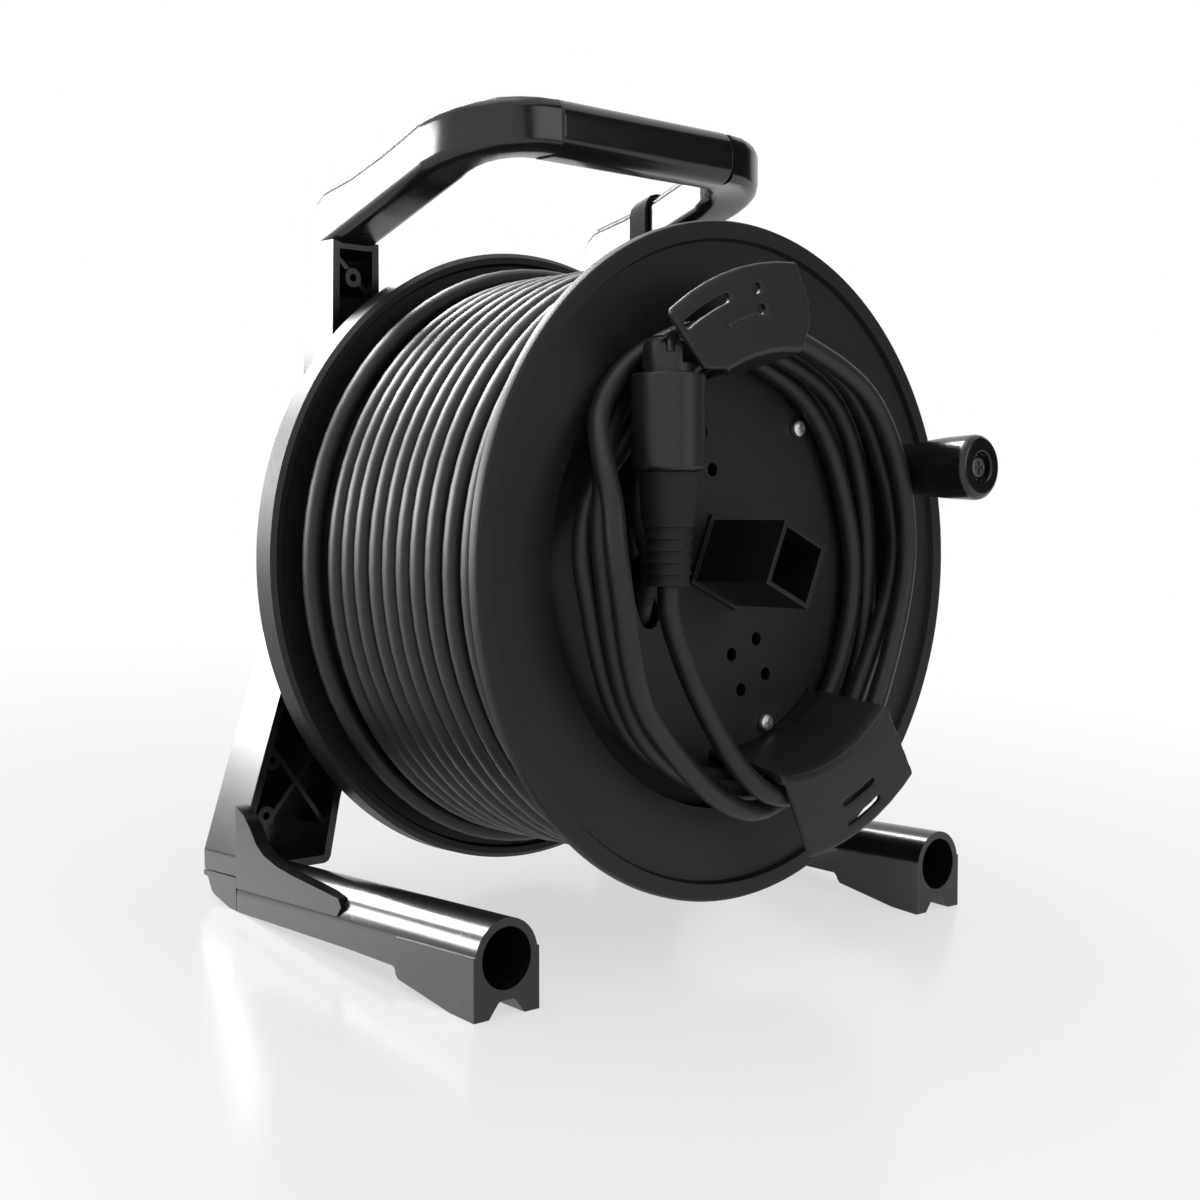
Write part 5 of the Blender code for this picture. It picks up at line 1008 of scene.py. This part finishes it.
class REEL_OT_stage(bpy.types.Operator):
    """The floor, the lights and the camera"""
    bl_idname = "reel.stage"
    bl_label = "Stage"

    def execute(self, context):
        looks = context.scene.stage_looks
        self.make_camera()
        self.make_floor(looks)
        self.make_lights(looks)
        self.make_card()
        self.make_world(looks)
        context.scene.view_settings.view_transform = "Standard"
        return {"FINISHED"}

    def make_camera(self):
        data = bpy.data.cameras.new("camera")
        data.lens = CAMERA_LENS
        data.sensor_width = SENSOR
        data.clip_start, data.clip_end = CLIP
        camera = new_object("camera", data)
        yaw, pitch = radians(CAMERA_YAW), radians(CAMERA_PITCH)
        ahead = Vector((sin(yaw) * cos(pitch), cos(yaw) * cos(pitch), sin(pitch)))
        side = ahead.cross(UP).normalized()
        up = side.cross(ahead)
        turn = Matrix((side, up, -ahead)).transposed().to_4x4()
        place = Matrix.Translation(Vector(CAMERA_PLACE) * MM)
        camera.matrix_world = REEL @ place @ turn
        bpy.context.scene.camera = camera

    def make_floor(self, looks):
        """A pale floor that keeps its shadows near the reel and fades to white farther out."""
        bm = bmesh.new()
        bmesh.ops.create_circle(bm, cap_ends=True, segments=64, radius=FLOOR_RADIUS)
        floor = mesh_object("floor", bm)
        f = Finish("floor_finish", Roughness=0.2, Specular_IOR_Level=0.5)
        f.shader.inputs["Base Color"].default_value = (*looks.floor, 1)
        glow = f.tree.nodes.new("ShaderNodeEmission")
        glow.inputs["Color"].default_value = WHITE
        blend = f.tree.nodes.new("ShaderNodeMixShader")
        rays = f.tree.nodes.new("ShaderNodeLightPath")
        seen = Value(f, rays.outputs["Is Camera Ray"])
        for other in ("Is Glossy Ray", "Is Transmission Ray"):
            seen = seen.most(Value(f, rays.outputs[other]))
        far = f.add("ShaderNodeVectorMath", {"operation": "LENGTH"}, f.place(), out="Value")
        share = seen * f.ramp(far, *GLOW)
        f.tree.links.new(share.socket, blend.inputs[0])
        f.tree.links.new(f.shader.outputs[0], blend.inputs[1])
        f.tree.links.new(glow.outputs[0], blend.inputs[2])
        f.tree.links.new(blend.outputs[0], f.end.inputs["Surface"])
        floor.data.materials.append(f.material)

    def make_lights(self, looks):
        for name, place, size, power, lights in LAMPS:
            data = bpy.data.lights.new(name, "AREA")
            data.shape = "RECTANGLE"
            data.size, data.size_y = size
            data.energy = getattr(looks, power)
            lamp = new_object(name, data)
            lamp.location = place
            aim = LAMP_AIM - lamp.location
            lamp.rotation_euler = aim.to_track_quat("-Z", "Y").to_euler()
            lamp.visible_diffuse = lights

    def make_card(self):
        """A dark card that only reflections see, so that the drum's front stays black."""
        bm = bmesh.new()
        bmesh.ops.create_grid(bm, x_segments=1, y_segments=1, size=0.5)
        card = mesh_object("dark_card", bm)
        card.scale = CARD_SCALE
        card.location = CARD_PLACE
        card.rotation_euler = (CARD_AIM - card.location).to_track_quat("Z", "Y").to_euler()
        card.visible_camera = False
        card.visible_diffuse = False
        card.visible_shadow = False
        card.visible_transmission = False
        f = Finish("card_finish", Roughness=1.0, Specular_IOR_Level=0.0)
        f.shader.inputs["Base Color"].default_value = CARD_SHADE
        card.data.materials.append(f.material)

    def make_world(self, looks):
        """White to the eye and in mirrors, and dimmer as a light."""
        world = bpy.data.worlds.new("studio")
        bpy.context.scene.world = world
        world.use_nodes = True
        tree = world.node_tree
        tree.nodes.clear()
        rays = tree.nodes.new("ShaderNodeLightPath")
        seen = rays.outputs["Is Camera Ray"]
        for other in ("Is Glossy Ray", "Is Transmission Ray"):
            most = tree.nodes.new("ShaderNodeMath")
            most.operation = "MAXIMUM"
            tree.links.new(seen, most.inputs[0])
            tree.links.new(rays.outputs[other], most.inputs[1])
            seen = most.outputs[0]
        level = tree.nodes.new("ShaderNodeMapRange")
        level.inputs["To Min"].default_value = looks.ambient
        level.inputs["To Max"].default_value = 1.0
        tree.links.new(seen, level.inputs["Value"])
        sky = tree.nodes.new("ShaderNodeBackground")
        sky.inputs["Color"].default_value = WHITE
        end = tree.nodes.new("ShaderNodeOutputWorld")
        tree.links.new(level.outputs["Result"], sky.inputs["Strength"])
        tree.links.new(sky.outputs[0], end.inputs["Surface"])


# Panel and running order

STEPS = ("stage", "stored_cable", "wound_cable", "winding_core", "drum", "saddles",
         "standing_frame", "crank", "axle", "screws")


class REEL_PT_panel(bpy.types.Panel):
    bl_idname = "REEL_PT_panel"
    bl_label = "Network cable reel"
    bl_space_type = "VIEW_3D"
    bl_region_type = "UI"
    bl_category = "Cable reel"

    def draw(self, context):
        layout = self.layout
        for looks in (context.scene.reel_looks, context.scene.stage_looks):
            for key in looks.__annotations__:
                layout.prop(looks, key)
        for step in STEPS:
            layout.operator("reel." + step)


CLASSES = (ReelLooks, StageLooks, REEL_OT_stored_cable, REEL_OT_wound_cable, REEL_OT_winding_core,
           REEL_OT_drum, REEL_OT_saddles, REEL_OT_standing_frame, REEL_OT_crank, REEL_OT_axle,
           REEL_OT_screws, REEL_OT_stage, REEL_PT_panel)


def register():
    for cls in CLASSES:
        bpy.utils.register_class(cls)
    bpy.types.Scene.reel_looks = bpy.props.PointerProperty(type=ReelLooks)
    bpy.types.Scene.stage_looks = bpy.props.PointerProperty(type=StageLooks)


def unregister():
    del bpy.types.Scene.stage_looks
    del bpy.types.Scene.reel_looks
    for cls in reversed(CLASSES):
        bpy.utils.unregister_class(cls)


def main():
    register()
    for step in STEPS:
        getattr(bpy.ops.reel, step)()


if __name__ == "__main__":
    main()
